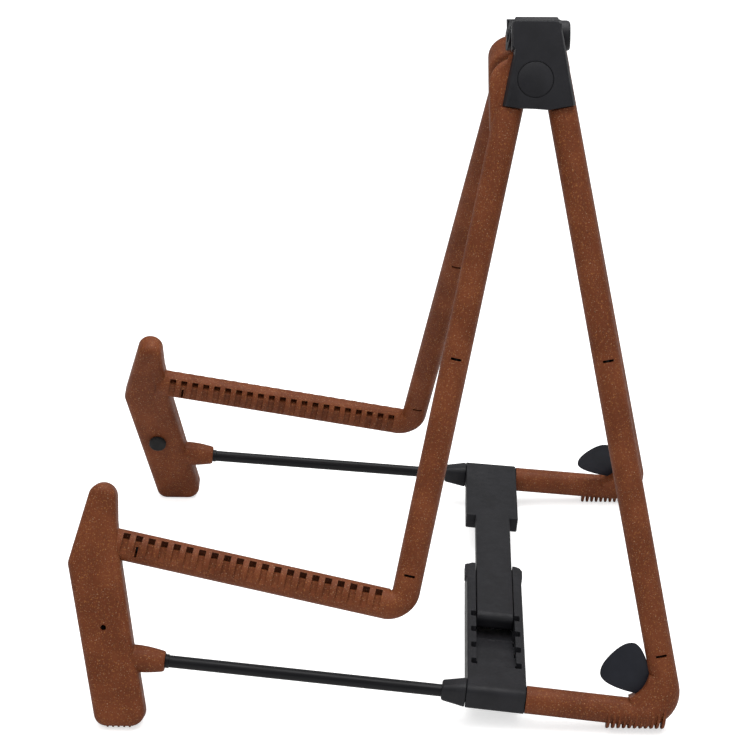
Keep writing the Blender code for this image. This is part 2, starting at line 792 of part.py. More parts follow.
def build_hinge(mats):
    """Hinge pin, its two end plugs and the two thin washers."""
    bm = bmesh.new()
    hinge_round(bm, LUG_FRONT_U[0] + 1.4, LUG_REAR_U[1] - 1.6, PIN_R, 16)
    finish_mesh(bm, "hinge_pin", NEAR, mats["steel"], Vector(), 40, False)
    plugs = (("front", LUG_FRONT_U[0] + 0.2, LUG_FRONT_U[0] + 1.0),
             ("rear", LUG_REAR_U[1] - 1.2, LUG_REAR_U[1] - 0.2))
    for label, u0, u1 in plugs:
        bm = bmesh.new()
        hinge_round(bm, u0, u1, 3.2, 16)
        finish_mesh(bm, "hinge_plug_" + label, NEAR, mats["black_plastic"], Vector(),
                    40, False)
    v_dir, w_dir = plane_vectors()[1:]
    for label, u0 in (("front", LUG_FRONT_U[1] + 0.15), ("rear", KNUCKLE_U[1] + 0.15)):
        rings = []
        for u, radius in ((u0, 6.4), (u0 + 0.5, 6.4), (u0 + 0.5, PIN_BORE_R),
                          (u0, PIN_BORE_R)):
            center = frame_point(u, HINGE_V, HINGE_W)
            rings.append(circle_ring(center, v_dir, w_dir, radius, radius, 20))
        bm = bmesh.new()
        hollow(bm, rings)
        finish_mesh(bm, "hinge_washer_" + label, NEAR, mats["steel"], Vector(), 40, False)


def hollow(bm, rings):
    """Join rings into a closed band, the last one back to the first."""
    rows = [[bm.verts.new(point) for point in ring] for ring in rings]
    count = len(rows[0])
    for i, row in enumerate(rows):
        ahead = rows[(i + 1) % len(rows)]
        for k in range(count):
            j = (k + 1) % count
            bm.faces.new((row[k], row[j], ahead[j], ahead[k]))


def build_cap_details(side, mats):
    """Plain disc in the cap's recess and the two screws from the inside."""
    name = SIDE_NAMES[side]
    bm = bmesh.new()
    lathe(bm, BADGE_SPOT, ((CAP_FACE_W - 1.0, BADGE_R - GAP),
                           (CAP_FACE_W - 0.3, BADGE_R - GAP),
                           (CAP_FACE_W - 0.15, BADGE_R - 0.6)), 32)
    finish_mesh(bm, name + "_badge_disc", side, mats["black_plastic"], Vector(), 30, False)
    for label, spot in zip(("lower", "upper"), SCREW_SPOTS):
        bm = bmesh.new()
        lathe(bm, spot, ((-14.2, 1.9), (-13.6, 2.7), (-12.3, 2.7), (-12.25, 1.2),
                         (7.1, 1.2)), 12)
        finish_mesh(bm, name + "_cap_screw_" + label, side, mats["steel"], Vector(),
                    30, False)


# Crossbar
def sleeve(bm):
    """Rounded sleeve round the lower wire at one end of the crossbar."""
    mid, along, up, out = rod_frame()
    rings = []
    for b, inset in ((SLEEVE_B[0], 0.5), (SLEEVE_B[0] + 0.5, 0.0),
                     (SLEEVE_B[1] - 0.5, 0.0), (SLEEVE_B[1], 0.5)):
        center = mid + along * b
        rings.append(rounded_ring(center, out, up, 6.6 - inset, BAR_TOP - inset,
                                  3.9 - inset, 4))
    loft(bm, rings)


def sleeve_bore(bm):
    """Round hole through the sleeve."""
    cylinder(bm, rod_point(-25, 0, 0), rod_point(25, 0, 0), SLEEVE_BORE_R,
             SLEEVE_BORE_R, 20)


def rod_pivot(side):
    """World place of the crossbar pivot in metres."""
    pivot = rod_frame()[0] * MM
    pivot.x *= side
    return pivot


def build_channel(mats):
    """Outer crossbar piece: two rails, a ramped floor and four notch pairs."""
    mat = mats["black_plastic"]
    pivot = rod_pivot(NEAR)
    half = BAR_HALF_WIDTH
    tip = CHANNEL_TIP_X
    plan = [(ROD_X, -half), (tip + 20.5, -half), (tip + 19.5, -half - 1.1),
            (tip + 3.5, -half - 1.1), (tip + 1.6, -half + 0.2), (tip, -half + 2.8),
            (tip, half - 3.0), (tip + 1.4, half - 0.6), (tip + 4.5, half + 0.8),
            (tip + 12.0, half + 0.7), (tip + 20.0, half), (ROD_X, half)]
    bm = bmesh.new()
    rings = []
    for h, inset in ((-7.0, 0.6), (-6.4, 0.0), (6.3, 0.0), (BAR_TOP, 0.7)):
        ring = []
        for x, b in plan:
            shift_x = inset if x < ROD_X - 1 and x < tip + 3 else 0.0
            ring.append(bar_point(x + shift_x, b - math.copysign(inset, b), h))
        rings.append(ring)
    loft(bm, rings)
    channel = finish_mesh(bm, "crossbar_channel", NEAR, mat, pivot, 30, False)
    bm = bmesh.new()
    sleeve(bm)
    combine(channel, finish_mesh(bm, "channel_sleeve", NEAR, mat, pivot, 30, True),
            'UNION')
    bm = bmesh.new()
    section = ((tip - 6, 12.0), (tip - 6, -12.0), (FORK_END_X, -12.0),
               (FORK_END_X, -3.2), (64.0, -3.2), (CAVITY_END_X - 1.0, 6.1),
               (CAVITY_END_X, 12.0))
    rings = []
    for b in (-CAVITY_HALF_WIDTH, CAVITY_HALF_WIDTH):
        rings.append([bar_point(x, b, h) for x, h in section])
    loft(bm, rings)
    cavity = finish_mesh(bm, "channel_cavity", NEAR, mat, pivot, 0, True)
    combine(channel, cavity, 'DIFFERENCE')
    bm = bmesh.new()
    reach = CAVITY_HALF_WIDTH + NOTCH_DEPTH
    for x in NOTCH_X:
        for sign in (-1, 1):
            plan = [(x - NOTCH_LENGTH / 2, sign * (CAVITY_HALF_WIDTH - 0.6)),
                    (x + NOTCH_LENGTH / 2, sign * (CAVITY_HALF_WIDTH - 0.6)),
                    (x + NOTCH_LENGTH / 2, sign * reach),
                    (x - NOTCH_LENGTH / 2, sign * reach)]
            bar_prism(bm, plan, -2.4, 12.0)
    sleeve_bore(bm)
    notches = finish_mesh(bm, "channel_notches", NEAR, mat, pivot, 0, True)
    combine(channel, notches, 'DIFFERENCE')
    return channel


def build_tongue(mats):
    """Inner crossbar piece: wide plate and the narrow tongue."""
    mat = mats["black_plastic"]
    pivot = rod_pivot(FAR)
    bm = bmesh.new()
    half = BAR_HALF_WIDTH - 0.1
    wide = [(ROD_X, half), (-PLATE_END_X, half), (-PLATE_END_X, -half), (ROD_X, -half)]
    rings = []
    for h, inset in ((-2.0, 0.0), (6.2, 0.0), (BAR_TOP, 0.8)):
        rings.append([bar_point(x if x > 100 else x + inset,
                                b - math.copysign(inset, b), h) for x, b in wide])
    loft(bm, rings)
    tongue = finish_mesh(bm, "crossbar_tongue", FAR, mat, pivot, 30, False)
    bm = bmesh.new()
    end = -TONGUE_TIP_X
    side_view = ((-PLATE_END_X + 6.0, BAR_TOP - 0.02), (end + 3.2, BAR_TOP - 0.02),
                 (end + 1.3, BAR_TOP - 0.8), (end + 0.2, BAR_TOP - 2.6), (end, 2.6),
                 (end + 0.6, -1.0), (end + 1.6, -1.7), (end + 8.4, -1.7),
                 (end + 10.4, 1.0), (-PLATE_END_X + 6.0, 1.0))
    rings = []
    for b, inset in ((-TONGUE_HALF_WIDTH, 0.5), (-TONGUE_HALF_WIDTH + 0.5, 0.0),
                     (TONGUE_HALF_WIDTH - 0.5, 0.0), (TONGUE_HALF_WIDTH, 0.5)):
        rings.append([bar_point(x, b, h - (inset if h > 6.5 else 0.0))
                      for x, h in side_view])
    loft(bm, rings)
    blade = finish_mesh(bm, "tongue_blade", FAR, mat, pivot, 30, True)
    combine(tongue, blade, 'UNION')
    bm = bmesh.new()
    sleeve(bm)
    ring_piece = finish_mesh(bm, "tongue_sleeve", FAR, mat, pivot, 30, True)
    combine(tongue, ring_piece, 'UNION')
    bm = bmesh.new()
    sleeve_bore(bm)
    cylinder(bm, bar_point(end + 4.9, -20, 1.9), bar_point(end + 4.9, 20, 1.9),
             1.85, 1.85, 14)
    holes = finish_mesh(bm, "tongue_holes", FAR, mat, pivot, 0, True)
    combine(tongue, holes, 'DIFFERENCE')
    bm = bmesh.new()
    reach = TONGUE_HALF_WIDTH - 0.2
    cylinder(bm, bar_point(end + 4.9, -reach, 1.9), bar_point(end + 4.9, reach, 1.9),
             1.5, 1.5, 14)
    finish_mesh(bm, "tongue_cross_pin", FAR, mats["steel"], pivot, 40, False)
    return tongue


def build_rod_pieces(side, mats):
    """Tapered collar in front of the sleeve and the bush inside it."""
    name = SIDE_NAMES[side]
    mid, along, up, out = rod_frame()
    bm = bmesh.new()
    start = (COLLAR_U[0] - BAR_Y) / along.y
    stop = (COLLAR_U[1] - BAR_Y) / along.y
    outer = []
    for b, half_out, half_up, corner in ((start, 3.9, 4.3, 3.2), (start + 0.7, 4.4, 4.9, 3.0),
                                         (stop, 6.3, 6.8, 3.6)):
        outer.append(rounded_ring(mid + along * b, out, up, half_out, half_up, corner, 4))
    count = len(outer[0])
    inner = []
    for b in (stop, start):
        ring = []
        for k in range(count):
            quarter, step = divmod(k, 5)
            angle = math.pi / 2 * (quarter + (step + 0.5) / 5)
            ring.append(mid + along * b + out * (BORE_R * math.cos(angle))
                        + up * (BORE_R * math.sin(angle)))
        inner.append(ring)
    hollow(bm, outer + inner)
    finish_mesh(bm, name + "_nose_collar", side, mats["black_plastic"], Vector(), 30, False)
    bm = bmesh.new()
    rings = []
    for b, radius in ((SLEEVE_B[0] + 0.2, BUSH_R), (SLEEVE_B[1] - 0.2, BUSH_R),
                      (SLEEVE_B[1] - 0.2, BORE_R), (SLEEVE_B[0] + 0.2, BORE_R)):
        rings.append(circle_ring(mid + along * b, out, up, radius, radius, 20))
    hollow(bm, rings)
    finish_mesh(bm, name + "_block_bush", side, mats["black_plastic"], Vector(), 40, False)


def main():
    """Build every piece of the stand."""
    clear_scene()
    mats = {key: make_material(key, *look) for key, look in LOOKS.items()}
    for side in (NEAR, FAR):
        build_frame(side, mats)
        build_wire(side, mats)
        build_foot_pad(side, mats)
        build_pick(side, mats)
        build_cap(side, mats)
        build_cap_details(side, mats)
        build_rod_pieces(side, mats)
    build_hinge(mats)
    build_channel(mats)
    build_tongue(mats)


main()
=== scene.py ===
"""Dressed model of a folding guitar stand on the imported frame.

Side frame coordinates are millimetres: u from front to rear, v up along the
leaning plane and w outward, square to it. Crossbar coordinates are x along the
bar, b across it and h up from the lower rod's axis.
"""
import json
import math

import bmesh
import bpy
import numpy as np
from mathutils import Matrix


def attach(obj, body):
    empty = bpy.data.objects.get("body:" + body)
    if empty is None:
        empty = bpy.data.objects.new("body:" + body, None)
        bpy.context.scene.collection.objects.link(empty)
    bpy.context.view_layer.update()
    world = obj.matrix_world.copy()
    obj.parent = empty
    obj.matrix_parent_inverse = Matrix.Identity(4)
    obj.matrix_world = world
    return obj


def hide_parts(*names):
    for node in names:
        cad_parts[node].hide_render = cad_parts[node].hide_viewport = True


bl_info = {
    "name": "Folding Guitar Stand",
    "version": (1, 0, 0),
    "blender": (4, 5, 0),
    "location": "3D View > Sidebar > Stand",
    "description": "Builds the visual pieces of a folding guitar stand",
    "category": "Add Mesh",
}

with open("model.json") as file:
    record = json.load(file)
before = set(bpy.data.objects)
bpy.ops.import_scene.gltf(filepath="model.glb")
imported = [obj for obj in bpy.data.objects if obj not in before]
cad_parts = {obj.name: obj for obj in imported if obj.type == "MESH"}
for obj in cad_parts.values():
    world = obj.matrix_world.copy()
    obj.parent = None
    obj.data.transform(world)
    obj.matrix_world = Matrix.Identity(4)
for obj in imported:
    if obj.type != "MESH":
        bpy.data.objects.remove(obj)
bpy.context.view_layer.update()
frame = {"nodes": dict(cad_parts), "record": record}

MM = 0.001
NEAR = 1
FAR = -1
SIDE_NAMES = {NEAR: "near", FAR: "far"}

# Side frame, in millimetres
HALF_SPREAD = 136.4  # from the middle plane to the foot of a frame's plane
LEAN = 0.354  # slope of a frame's plane
ORIGIN_Y = 130.1  # the u that lies at the world's origin
TILT = math.atan(LEAN)
SIN_T = math.sin(TILT)
COS_T = math.cos(TILT)
# Each axis is its place at zero and its slope, in u and v
ARM_AXIS = (93.4, -0.2107)
FRONT_LEG_AXIS = (132.1, 0.2034)
REAR_LEG_AXIS = (284.0, -0.1925)
LOWER_AXIS = (36.9, -0.1)
APEX_V = 337.5  # height of the bent tube's top run
FRONT_BEND = (145.2, 62.75)
REAR_BEND = (282.3, 8.67)
LOOP_RADII = (8.2, 7.6, 7.6, 11.2)
LOOP_START_U = -6.0
TUBE_END_U = 208.35
TUBE_RADIUS = 7.1
WIRE_BORE = 3.35
FOOT_W0 = -6.0
FOOT_W1 = 9.0
SOCKET_DROP = 1.3
PAD_SPOT = (-8.3, 50.3)
POCKET_U = (3.1, 131.9)
POCKET_COUNT = 21
FRONT_SLIT_V = (190.1, 79.7)
REAR_SLIT_V = (190.0, 40.4)
ARM_SLIT_U = 9.2
# A rib's two circles: v, w and radius
RIB_TIP = (3.88, -3.12, 2.6)
RIB_WIDE = (9.6, 0.2, 7.25)
RIB_TOP_V = 16.0
RIB_FIRST_U = 250.8
RIB_PITCH = 2.8
RIB_COUNT = 11
# Arc that the floor teeth end on: v, w and radius
TOE_ARC = (6.3, 2.0, 7.0)
TOE_PITCH = 2.85
TOE_COUNT = 5
PICK_TIP = (273.6, 18.3)
PICK_DIR = (-0.697, 0.717)
ROD_END_U = 236.0

# Hub
HINGE_V = 354.7
HINGE_W = -19.1
BARREL_RADIUS = 7.6
PIN_HOLE = 2.5
PLUG_HOLE = 3.5
KNUCKLE_U = (198.1, 222.1)  # ends of the near cap's barrel
LUG_FRONT_U = (195.3, 197.3)
LUG_REAR_U = (222.9, 227.6)
CAP_SEAT_W = 4.0
CAP_FACE_W = 9.3
FAR_CAP_TOP_V = 347.2
BADGE_SPOT = (209.4, 330.7)
BADGE_HOLE = 9.2
NOSE_W = (-16.2, 2.0)  # inner and outer face of the boss under the cap
SCREW_SPOTS = ((210.0, 321.5), (210.0, 329.5))

# Crossbar
BAR_Y = 193.0  # the u of the crossbar's middle line
BAR_SLOPE = math.atan(0.1)
ROD_X = 130.57
ROD_SKEW = 0.0334
BAR_TOP = 7.0
BAR_HALF_WIDTH = 15.2
SLEEVE_B = (-15.2, 15.1)  # ends of the sleeve round the rod
SLEEVE_HALF = 6.6
SLEEVE_HOLE = 4.9
COLLAR_U = (165.2, 177.55)
CHANNEL_TIP_X = -2.0
CAVITY_HALF = 10.4
NOTCH_X = (58.9, 75.9, 92.9, 109.8)
TONGUE_TIP_X = 57.6
PLATE_END_X = -62.5  # where the wide plate gives way to the blade
CROSS_PIN_HOLE = 1.85

# Stage, in metres; the focal length is in pixels of the picture
FLOOR_REACH = 6.0
PICTURE_SIZE = 750.0
FOCAL_LENGTH = 2350.0
SENSOR_WIDTH = 36.0
CAMERA_PLACE = (1.1749, 0.16906 - ORIGIN_Y * MM, 0.6356)
CAMERA_FORWARD = (-0.9206, -0.0327, -0.3891)
CAMERA_RIGHT = (-0.0340, 0.99942, -0.0036)


# Places
def frame_xyz(u, v, w):
    """World metres of frame coordinates on the near side."""
    u, v, w = np.broadcast_arrays(u, v, w)
    x = HALF_SPREAD - SIN_T * v + COS_T * w
    z = COS_T * v + SIN_T * w
    return np.stack([x, u - ORIGIN_Y, z], axis=-1) * MM


def bar_xyz(x, b, h):
    """World metres of crossbar coordinates."""
    x, b, h = np.broadcast_arrays(x, b, h)
    z0 = (LOWER_AXIS[0] + LOWER_AXIS[1] * BAR_Y) * COS_T
    cos_s = math.cos(BAR_SLOPE)
    sin_s = math.sin(BAR_SLOPE)
    y = BAR_Y - ORIGIN_Y + b * cos_s + h * sin_s
    return np.stack([x, y, z0 - b * sin_s + h * cos_s], axis=-1) * MM


def rod_xyz(b, out_by, up_by):
    """World metres of a place along, outside and above the near lower rod."""
    b, out_by, up_by = np.broadcast_arrays(b, out_by, up_by)
    along = np.array([ROD_SKEW, 1.0, -0.0943])
    along /= np.linalg.norm(along)
    up = np.array([0.0, math.sin(BAR_SLOPE), math.cos(BAR_SLOPE)])
    up -= along * up.dot(along)
    up /= np.linalg.norm(up)
    out = np.cross(along, up)
    middle = bar_xyz(ROD_X, 0.0, 0.0)
    return middle + (b[..., None] * along + out_by[..., None] * out
                     + up_by[..., None] * up) * MM


def arm_v(u):
    """Height of the arm's axis at u."""
    return ARM_AXIS[0] + ARM_AXIS[1] * u


def lower_v(u):
    """Height of the lower tube's axis at u."""
    return LOWER_AXIS[0] + LOWER_AXIS[1] * u


def leg_u(axis, v):
    """Place of a leg's axis at height v."""
    return axis[0] + axis[1] * v


def unit(u, v):
    """Flat direction of length one."""
    return np.array([u, v]) / math.hypot(u, v)


def size(name):
    """One of the sizes in the settings, in millimetres."""
    return round(getattr(bpy.context.scene.stand_sizes, name) / MM, 4)


# Flat outlines
def arc(center, radius, start, stop, count):
    """Points of a flat arc, angles in degrees."""
    angle = np.radians(np.linspace(start, stop, count))
    return np.stack([center[0] + radius * np.cos(angle),
                     center[1] + radius * np.sin(angle)], axis=1)


def fillet(before, corner, after, radius, count):
    """Arc of that radius tangent to both sides of a corner."""
    here = np.array(corner, float)
    back = np.array(before, float) - here
    ahead = np.array(after, float) - here
    back /= np.linalg.norm(back)
    ahead /= np.linalg.norm(ahead)
    half = math.acos(float(np.clip(back.dot(ahead), -1, 1))) / 2
    center = here + (back + ahead) / np.linalg.norm(back + ahead) * radius / math.sin(half)
    start = here + back * radius / math.tan(half) - center
    turn = np.linspace(0, math.pi - 2 * half, count)
    turn = turn if back[0] * ahead[1] - back[1] * ahead[0] < 0 else -turn
    return center + np.stack([start[0] * np.cos(turn) - start[1] * np.sin(turn),
                              start[0] * np.sin(turn) + start[1] * np.cos(turn)], axis=1)


def rounded_path(corners, radii, count):
    """Polyline whose inner corners are arcs of the given radii."""
    parts = [np.array(corners[:1], float)]
    for i, radius in enumerate(radii):
        parts.append(fillet(corners[i], corners[i + 1], corners[i + 2], radius, count))
    parts.append(np.array(corners[-1:], float))
    return np.concatenate(parts)


def rounded_outline(corners, radii, count):
    """Closed outline whose every corner is an arc of its own radius."""
    size = len(corners)
    return np.concatenate([fillet(corners[i - 1], corners[i], corners[(i + 1) % size],
                                  radii[i], count) for i in range(size)])


def inset(outline, amount):
    """Outline moved inward by amount along its corner bisectors."""
    ahead = np.roll(outline, -1, axis=0) - outline
    ahead /= np.maximum(np.linalg.norm(ahead, axis=1, keepdims=True), 1e-9)
    back = np.roll(ahead, 1, axis=0)
    normal = np.stack([-(ahead + back)[:, 1], (ahead + back)[:, 0]], axis=1)
    normal /= np.maximum(np.linalg.norm(normal, axis=1, keepdims=True), 1e-9)
    area = np.sum(outline[:, 0] * np.roll(outline[:, 1], -1)
                  - outline[:, 1] * np.roll(outline[:, 0], -1))
    reach = np.maximum(0.6, normal[:, 0] * -ahead[:, 1] + normal[:, 1] * ahead[:, 0])
    return outline + np.sign(area) * normal * (amount / reach)[:, None]


# Mesh making
def link(name, mesh):
    """Object holding a mesh, linked to the scene."""
    obj = bpy.data.objects.new(name, mesh)
    bpy.context.scene.collection.objects.link(obj)
    return obj


def orient(mesh):
    """Turn every face outward."""
    bm = bmesh.new()
    bm.from_mesh(mesh)
    bmesh.ops.remove_doubles(bm, verts=bm.verts, dist=1e-6)
    bmesh.ops.recalc_face_normals(bm, faces=bm.faces)
    bm.to_mesh(mesh)
    bm.free()


def solid(name, rings, closed=False):
    """Closed mesh through rings of shape (m, n, 3).

    Quad (i, k) joins ring i to ring i + 1 and point k to k + 1; with closed the
    last ring joins the first, otherwise the end rings are filled.
    """
    m, n = rings.shape[:2]
    i = np.arange(m if closed else m - 1)[:, None]
    k = np.arange(n)[None, :]
    j = (k + 1) % n
    nxt = (i + 1) % m
    quads = np.stack([i * n + k, i * n + j, nxt * n + j, nxt * n + k], -1).reshape(-1, 4)
    faces = quads.tolist()
    if not closed:
        faces += [np.arange(n).tolist(), (np.arange(n) + (m - 1) * n).tolist()]
    mesh = bpy.data.meshes.new(name)
    mesh.from_pydata(rings.reshape(-1, 3), [], faces)
    orient(mesh)
    return link(name, mesh)


def sweep(path, across, outward, count):
    """Rings of an elliptical tube along a flat path.

    Ring i is path[i] + across cos(t) n + outward sin(t) w, where n is square to
    the mean direction of the two segments and across is stretched at a mitre.
    """
    step = np.diff(path, axis=0)
    step /= np.linalg.norm(step, axis=1, keepdims=True)
    before = np.concatenate([step[:1], step])
    after = np.concatenate([step, step[-1:]])
    along = before + after
    along /= np.linalg.norm(along, axis=1, keepdims=True)
    stretch = 1.0 / np.maximum(0.5, np.sum(along * after, axis=1))
    t = np.linspace(0, 2 * math.pi, count, endpoint=False)
    reach = (np.broadcast_to(across, len(path)) * stretch)[:, None] * np.cos(t)
    u = path[:, :1] - along[:, 1:] * reach
    v = path[:, 1:] + along[:, :1] * reach
    return frame_xyz(u, v, np.broadcast_to(outward, len(path))[:, None] * np.sin(t))


def plate(outline, w0, w1, radius, steps, center=None):
    """Rings of a slab whose rims are quarter rounds.

    At the angle t the ring lies r (1 - cos t) above the lower face and
    r (1 - sin t) inside the outline; the upper rim is the same, turned over.
    With a center the outline shrinks towards it, which suits a round one.
    """
    t = np.linspace(0, math.pi / 2, steps)
    rise = radius * (1 - np.cos(t))
    shrink = radius * (1 - np.sin(t))
    levels = np.concatenate([w0 + rise, (w1 - rise)[::-1]])
    insets = np.concatenate([shrink, shrink[::-1]])
    if center is None:
        spots = [inset(outline, s) for s in insets]
    else:
        arms = outline - center
        reach = np.linalg.norm(arms, axis=1).mean()
        spots = [center + arms * (1 - s / reach) for s in insets]
    return np.array([frame_xyz(*spot.T, w) for spot, w in zip(spots, levels)])


def turned(spot, profile, count):
    """Rings of a (w, radius) profile turned about a line square to the frame."""
    profile = np.array(profile, float)
    t = np.linspace(0, 2 * math.pi, count, endpoint=False)
    r = profile[:, 1:]
    return frame_xyz(spot[0] + r * np.cos(t), spot[1] + r * np.sin(t), profile[:, :1])


def apply_modifiers(obj):
    """Turn an object's modifiers into mesh."""
    graph = bpy.context.evaluated_depsgraph_get()
    mesh = bpy.data.meshes.new_from_object(obj.evaluated_get(graph))
    obj.modifiers.clear()
    old = obj.data
    obj.data = mesh
    bpy.data.meshes.remove(old)


def combine(obj, other, operation):
    """Add or take away a second object with an exact boolean."""
    mod = obj.modifiers.new("combine", 'BOOLEAN')
    mod.operation = operation
    mod.object = other
    mod.solver = 'EXACT'
    apply_modifiers(obj)
    bpy.data.objects.remove(other, do_unlink=True)


def add_all(obj, pieces):
    """Join solids, given as rings, to an object."""
    for rings in pieces:
        combine(obj, solid("add", rings), 'UNION')


def cut_all(obj, pieces):
    """Cut solids, given as rings, out of an object."""
    for rings in pieces:
        combine(obj, solid("cut", rings), 'DIFFERENCE')


def turn_over(mesh):
    """Mirror a mesh in the middle plane and keep its faces outward."""
    mesh.transform(Matrix.Scale(-1, 4, (1, 0, 0)))
    mesh.flip_normals()


def mirrored(obj, name):
    """Copy of a near-side object on the far side."""
    mesh = obj.data.copy()
    mesh.name = name
    turn_over(mesh)
    return link(name, mesh)


def soften(obj, angle):
    """Smooth shading with sharp edges kept above an angle in degrees."""
    obj.data.shade_smooth()
    obj.data.set_sharp_from_angle(angle=math.radians(angle))
    return obj


def edge_round(obj, width, angle=32.0):
    """Round the sharp edges of a piece by width in millimetres."""
    mod = obj.modifiers.new("edge_round", 'BEVEL')
    mod.width = width * MM
    mod.segments = 3
    mod.limit_method = 'ANGLE'
    mod.angle_limit = math.radians(angle)
    mod.harden_normals = False
    mod.use_clamp_overlap = True
    apply_modifiers(obj)


def dress(obj, finish, body, node):
    """Give a piece its finish, its body and the node it stands for."""
    obj.data.materials.clear()
    obj.data.materials.append(material(finish))
    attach(obj, body)
    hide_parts(node)


def dress_pair(near, finish, node, body="side"):
    """Dress a near piece and its mirror image on the far side."""
    far = mirrored(near, near.name.replace("near", "far"))
    for obj, side in ((near, "near_"), (far, "far_")):
        dress(obj, finish, side + body, side + node)


# Materials
def new_material(name):
    """Material with a principled shader; returns it, its tree and the shader."""
    mat = bpy.data.materials.new(name)
    mat.use_nodes = True
    tree = mat.node_tree
    return mat, tree, tree.nodes["Principled BSDF"]


def noise(tree, coords, scale, detail=2.0, rough=0.5):
    """Noise texture read at object coordinates."""
    node = tree.nodes.new("ShaderNodeTexNoise")
    node.inputs["Scale"].default_value = scale
    node.inputs["Detail"].default_value = detail
    node.inputs["Roughness"].default_value = rough
    tree.links.new(coords, node.inputs["Vector"])
    return node.outputs["Fac"]


def ramp(tree, fac, low, high, low_value=0.0, high_value=1.0):
    """Map a value from the range low to high onto two new values."""
    node = tree.nodes.new("ShaderNodeMapRange")
    node.interpolation_type = 'SMOOTHSTEP'
    node.inputs["From Min"].default_value = low
    node.inputs["From Max"].default_value = high
    node.inputs["To Min"].default_value = low_value
    node.inputs["To Max"].default_value = high_value
    tree.links.new(fac, node.inputs["Value"])
    return node.outputs["Result"]


def mix(tree, fac, first, second):
    """Mix of two colours, each a socket or four numbers."""
    node = tree.nodes.new("ShaderNodeMix")
    node.data_type = 'RGBA'
    tree.links.new(fac, node.inputs[0])
    for socket, value in ((node.inputs[6], first), (node.inputs[7], second)):
        if isinstance(value, bpy.types.NodeSocket):
            tree.links.new(value, socket)
        else:
            socket.default_value = value
    return node.outputs[2]


def bump(tree, height, strength, distance):
    """Bump normal from a height value."""
    node = tree.nodes.new("ShaderNodeBump")
    node.inputs["Strength"].default_value = strength
    node.inputs["Distance"].default_value = distance
    tree.links.new(height, node.inputs["Height"])
    return node.outputs["Normal"]


def composite_material(props):
    """Brown moulded composite with pale and orange flecks of fibre."""
    mat, tree, shader = new_material("stand_composite")
    coords = tree.nodes.new("ShaderNodeTexCoord").outputs["Object"]
    warp = tree.nodes.new("ShaderNodeMapping")
    warp.inputs["Scale"].default_value = (1.0, 0.7, 0.7)
    tree.links.new(coords, warp.inputs["Vector"])
    spot = warp.outputs["Vector"]
    dark = (*props.composite_dark, 1.0)
    light = (*props.composite_light, 1.0)
    color = mix(tree, ramp(tree, noise(tree, coords, 55.0, 3.0), 0.35, 0.68), dark, light)
    color = mix(tree, ramp(tree, noise(tree, coords, 560.0, 3.0), 0.30, 0.72, 0.0, 0.55),
                color, (*props.composite_red, 1.0))
    fleck = ramp(tree, noise(tree, spot, 1700.0, 1.0), 0.58, 0.74, 0.0, 0.42)
    color = mix(tree, fleck, color, (*props.fleck_orange, 1.0))
    pale = ramp(tree, noise(tree, spot, 2300.0, 0.5), 0.66, 0.80, 0.0, 0.36)
    color = mix(tree, pale, color, (*props.fleck_pale, 1.0))
    deep = ramp(tree, noise(tree, spot, 1300.0, 2.0), 0.36, 0.26, 0.0, 0.5)
    color = mix(tree, deep, color, (0.045, 0.016, 0.009, 1.0))
    tree.links.new(color, shader.inputs["Base Color"])
    rough = ramp(tree, noise(tree, coords, 420.0, 3.0), 0.25, 0.75, 0.42, 0.62)
    tree.links.new(rough, shader.inputs["Roughness"])
    shader.inputs["Specular IOR Level"].default_value = 0.12
    tree.links.new(bump(tree, noise(tree, coords, 850.0, 4.0, 0.6), 0.22, 0.0006),
                   shader.inputs["Normal"])
    return mat


def plastic_material(name, color, roughness, grain, depth):
    """Matt black moulded plastic with a fine even grain."""
    mat, tree, shader = new_material(name)
    coords = tree.nodes.new("ShaderNodeTexCoord").outputs["Object"]
    lighter = tuple(1.35 * c for c in color)
    tone = mix(tree, ramp(tree, noise(tree, coords, 90.0, 3.0), 0.3, 0.7),
               (*color, 1.0), (*lighter, 1.0))
    tree.links.new(tone, shader.inputs["Base Color"])
    shader.inputs["Specular IOR Level"].default_value = 0.2
    rough = ramp(tree, noise(tree, coords, 260.0, 3.0), 0.3, 0.7,
                 roughness - 0.05, roughness + 0.06)
    tree.links.new(rough, shader.inputs["Roughness"])
    tree.links.new(bump(tree, noise(tree, coords, grain, 2.0), 0.25, depth),
                   shader.inputs["Normal"])
    return mat


def steel_material(name, color, metallic, roughness):
    """Metal with faint drawn streaks along the stand's depth."""
    mat, tree, shader = new_material(name)
    coords = tree.nodes.new("ShaderNodeTexCoord").outputs["Object"]
    streak = tree.nodes.new("ShaderNodeMapping")
    streak.inputs["Scale"].default_value = (1.0, 0.04, 1.0)
    tree.links.new(coords, streak.inputs["Vector"])
    lighter = tuple(min(1.0, 1.5 * c) for c in color)
    tone = mix(tree, ramp(tree, noise(tree, streak.outputs["Vector"], 700.0, 3.0), 0.3, 0.7),
               (*color, 1.0), (*lighter, 1.0))
    tree.links.new(tone, shader.inputs["Base Color"])
    shader.inputs["Metallic"].default_value = metallic
    shader.inputs["Specular IOR Level"].default_value = 0.18
    rough = ramp(tree, noise(tree, streak.outputs["Vector"], 500.0, 2.0), 0.3, 0.7,
                 roughness - 0.04, roughness + 0.07)
    tree.links.new(rough, shader.inputs["Roughness"])
    return mat


made_materials = {}


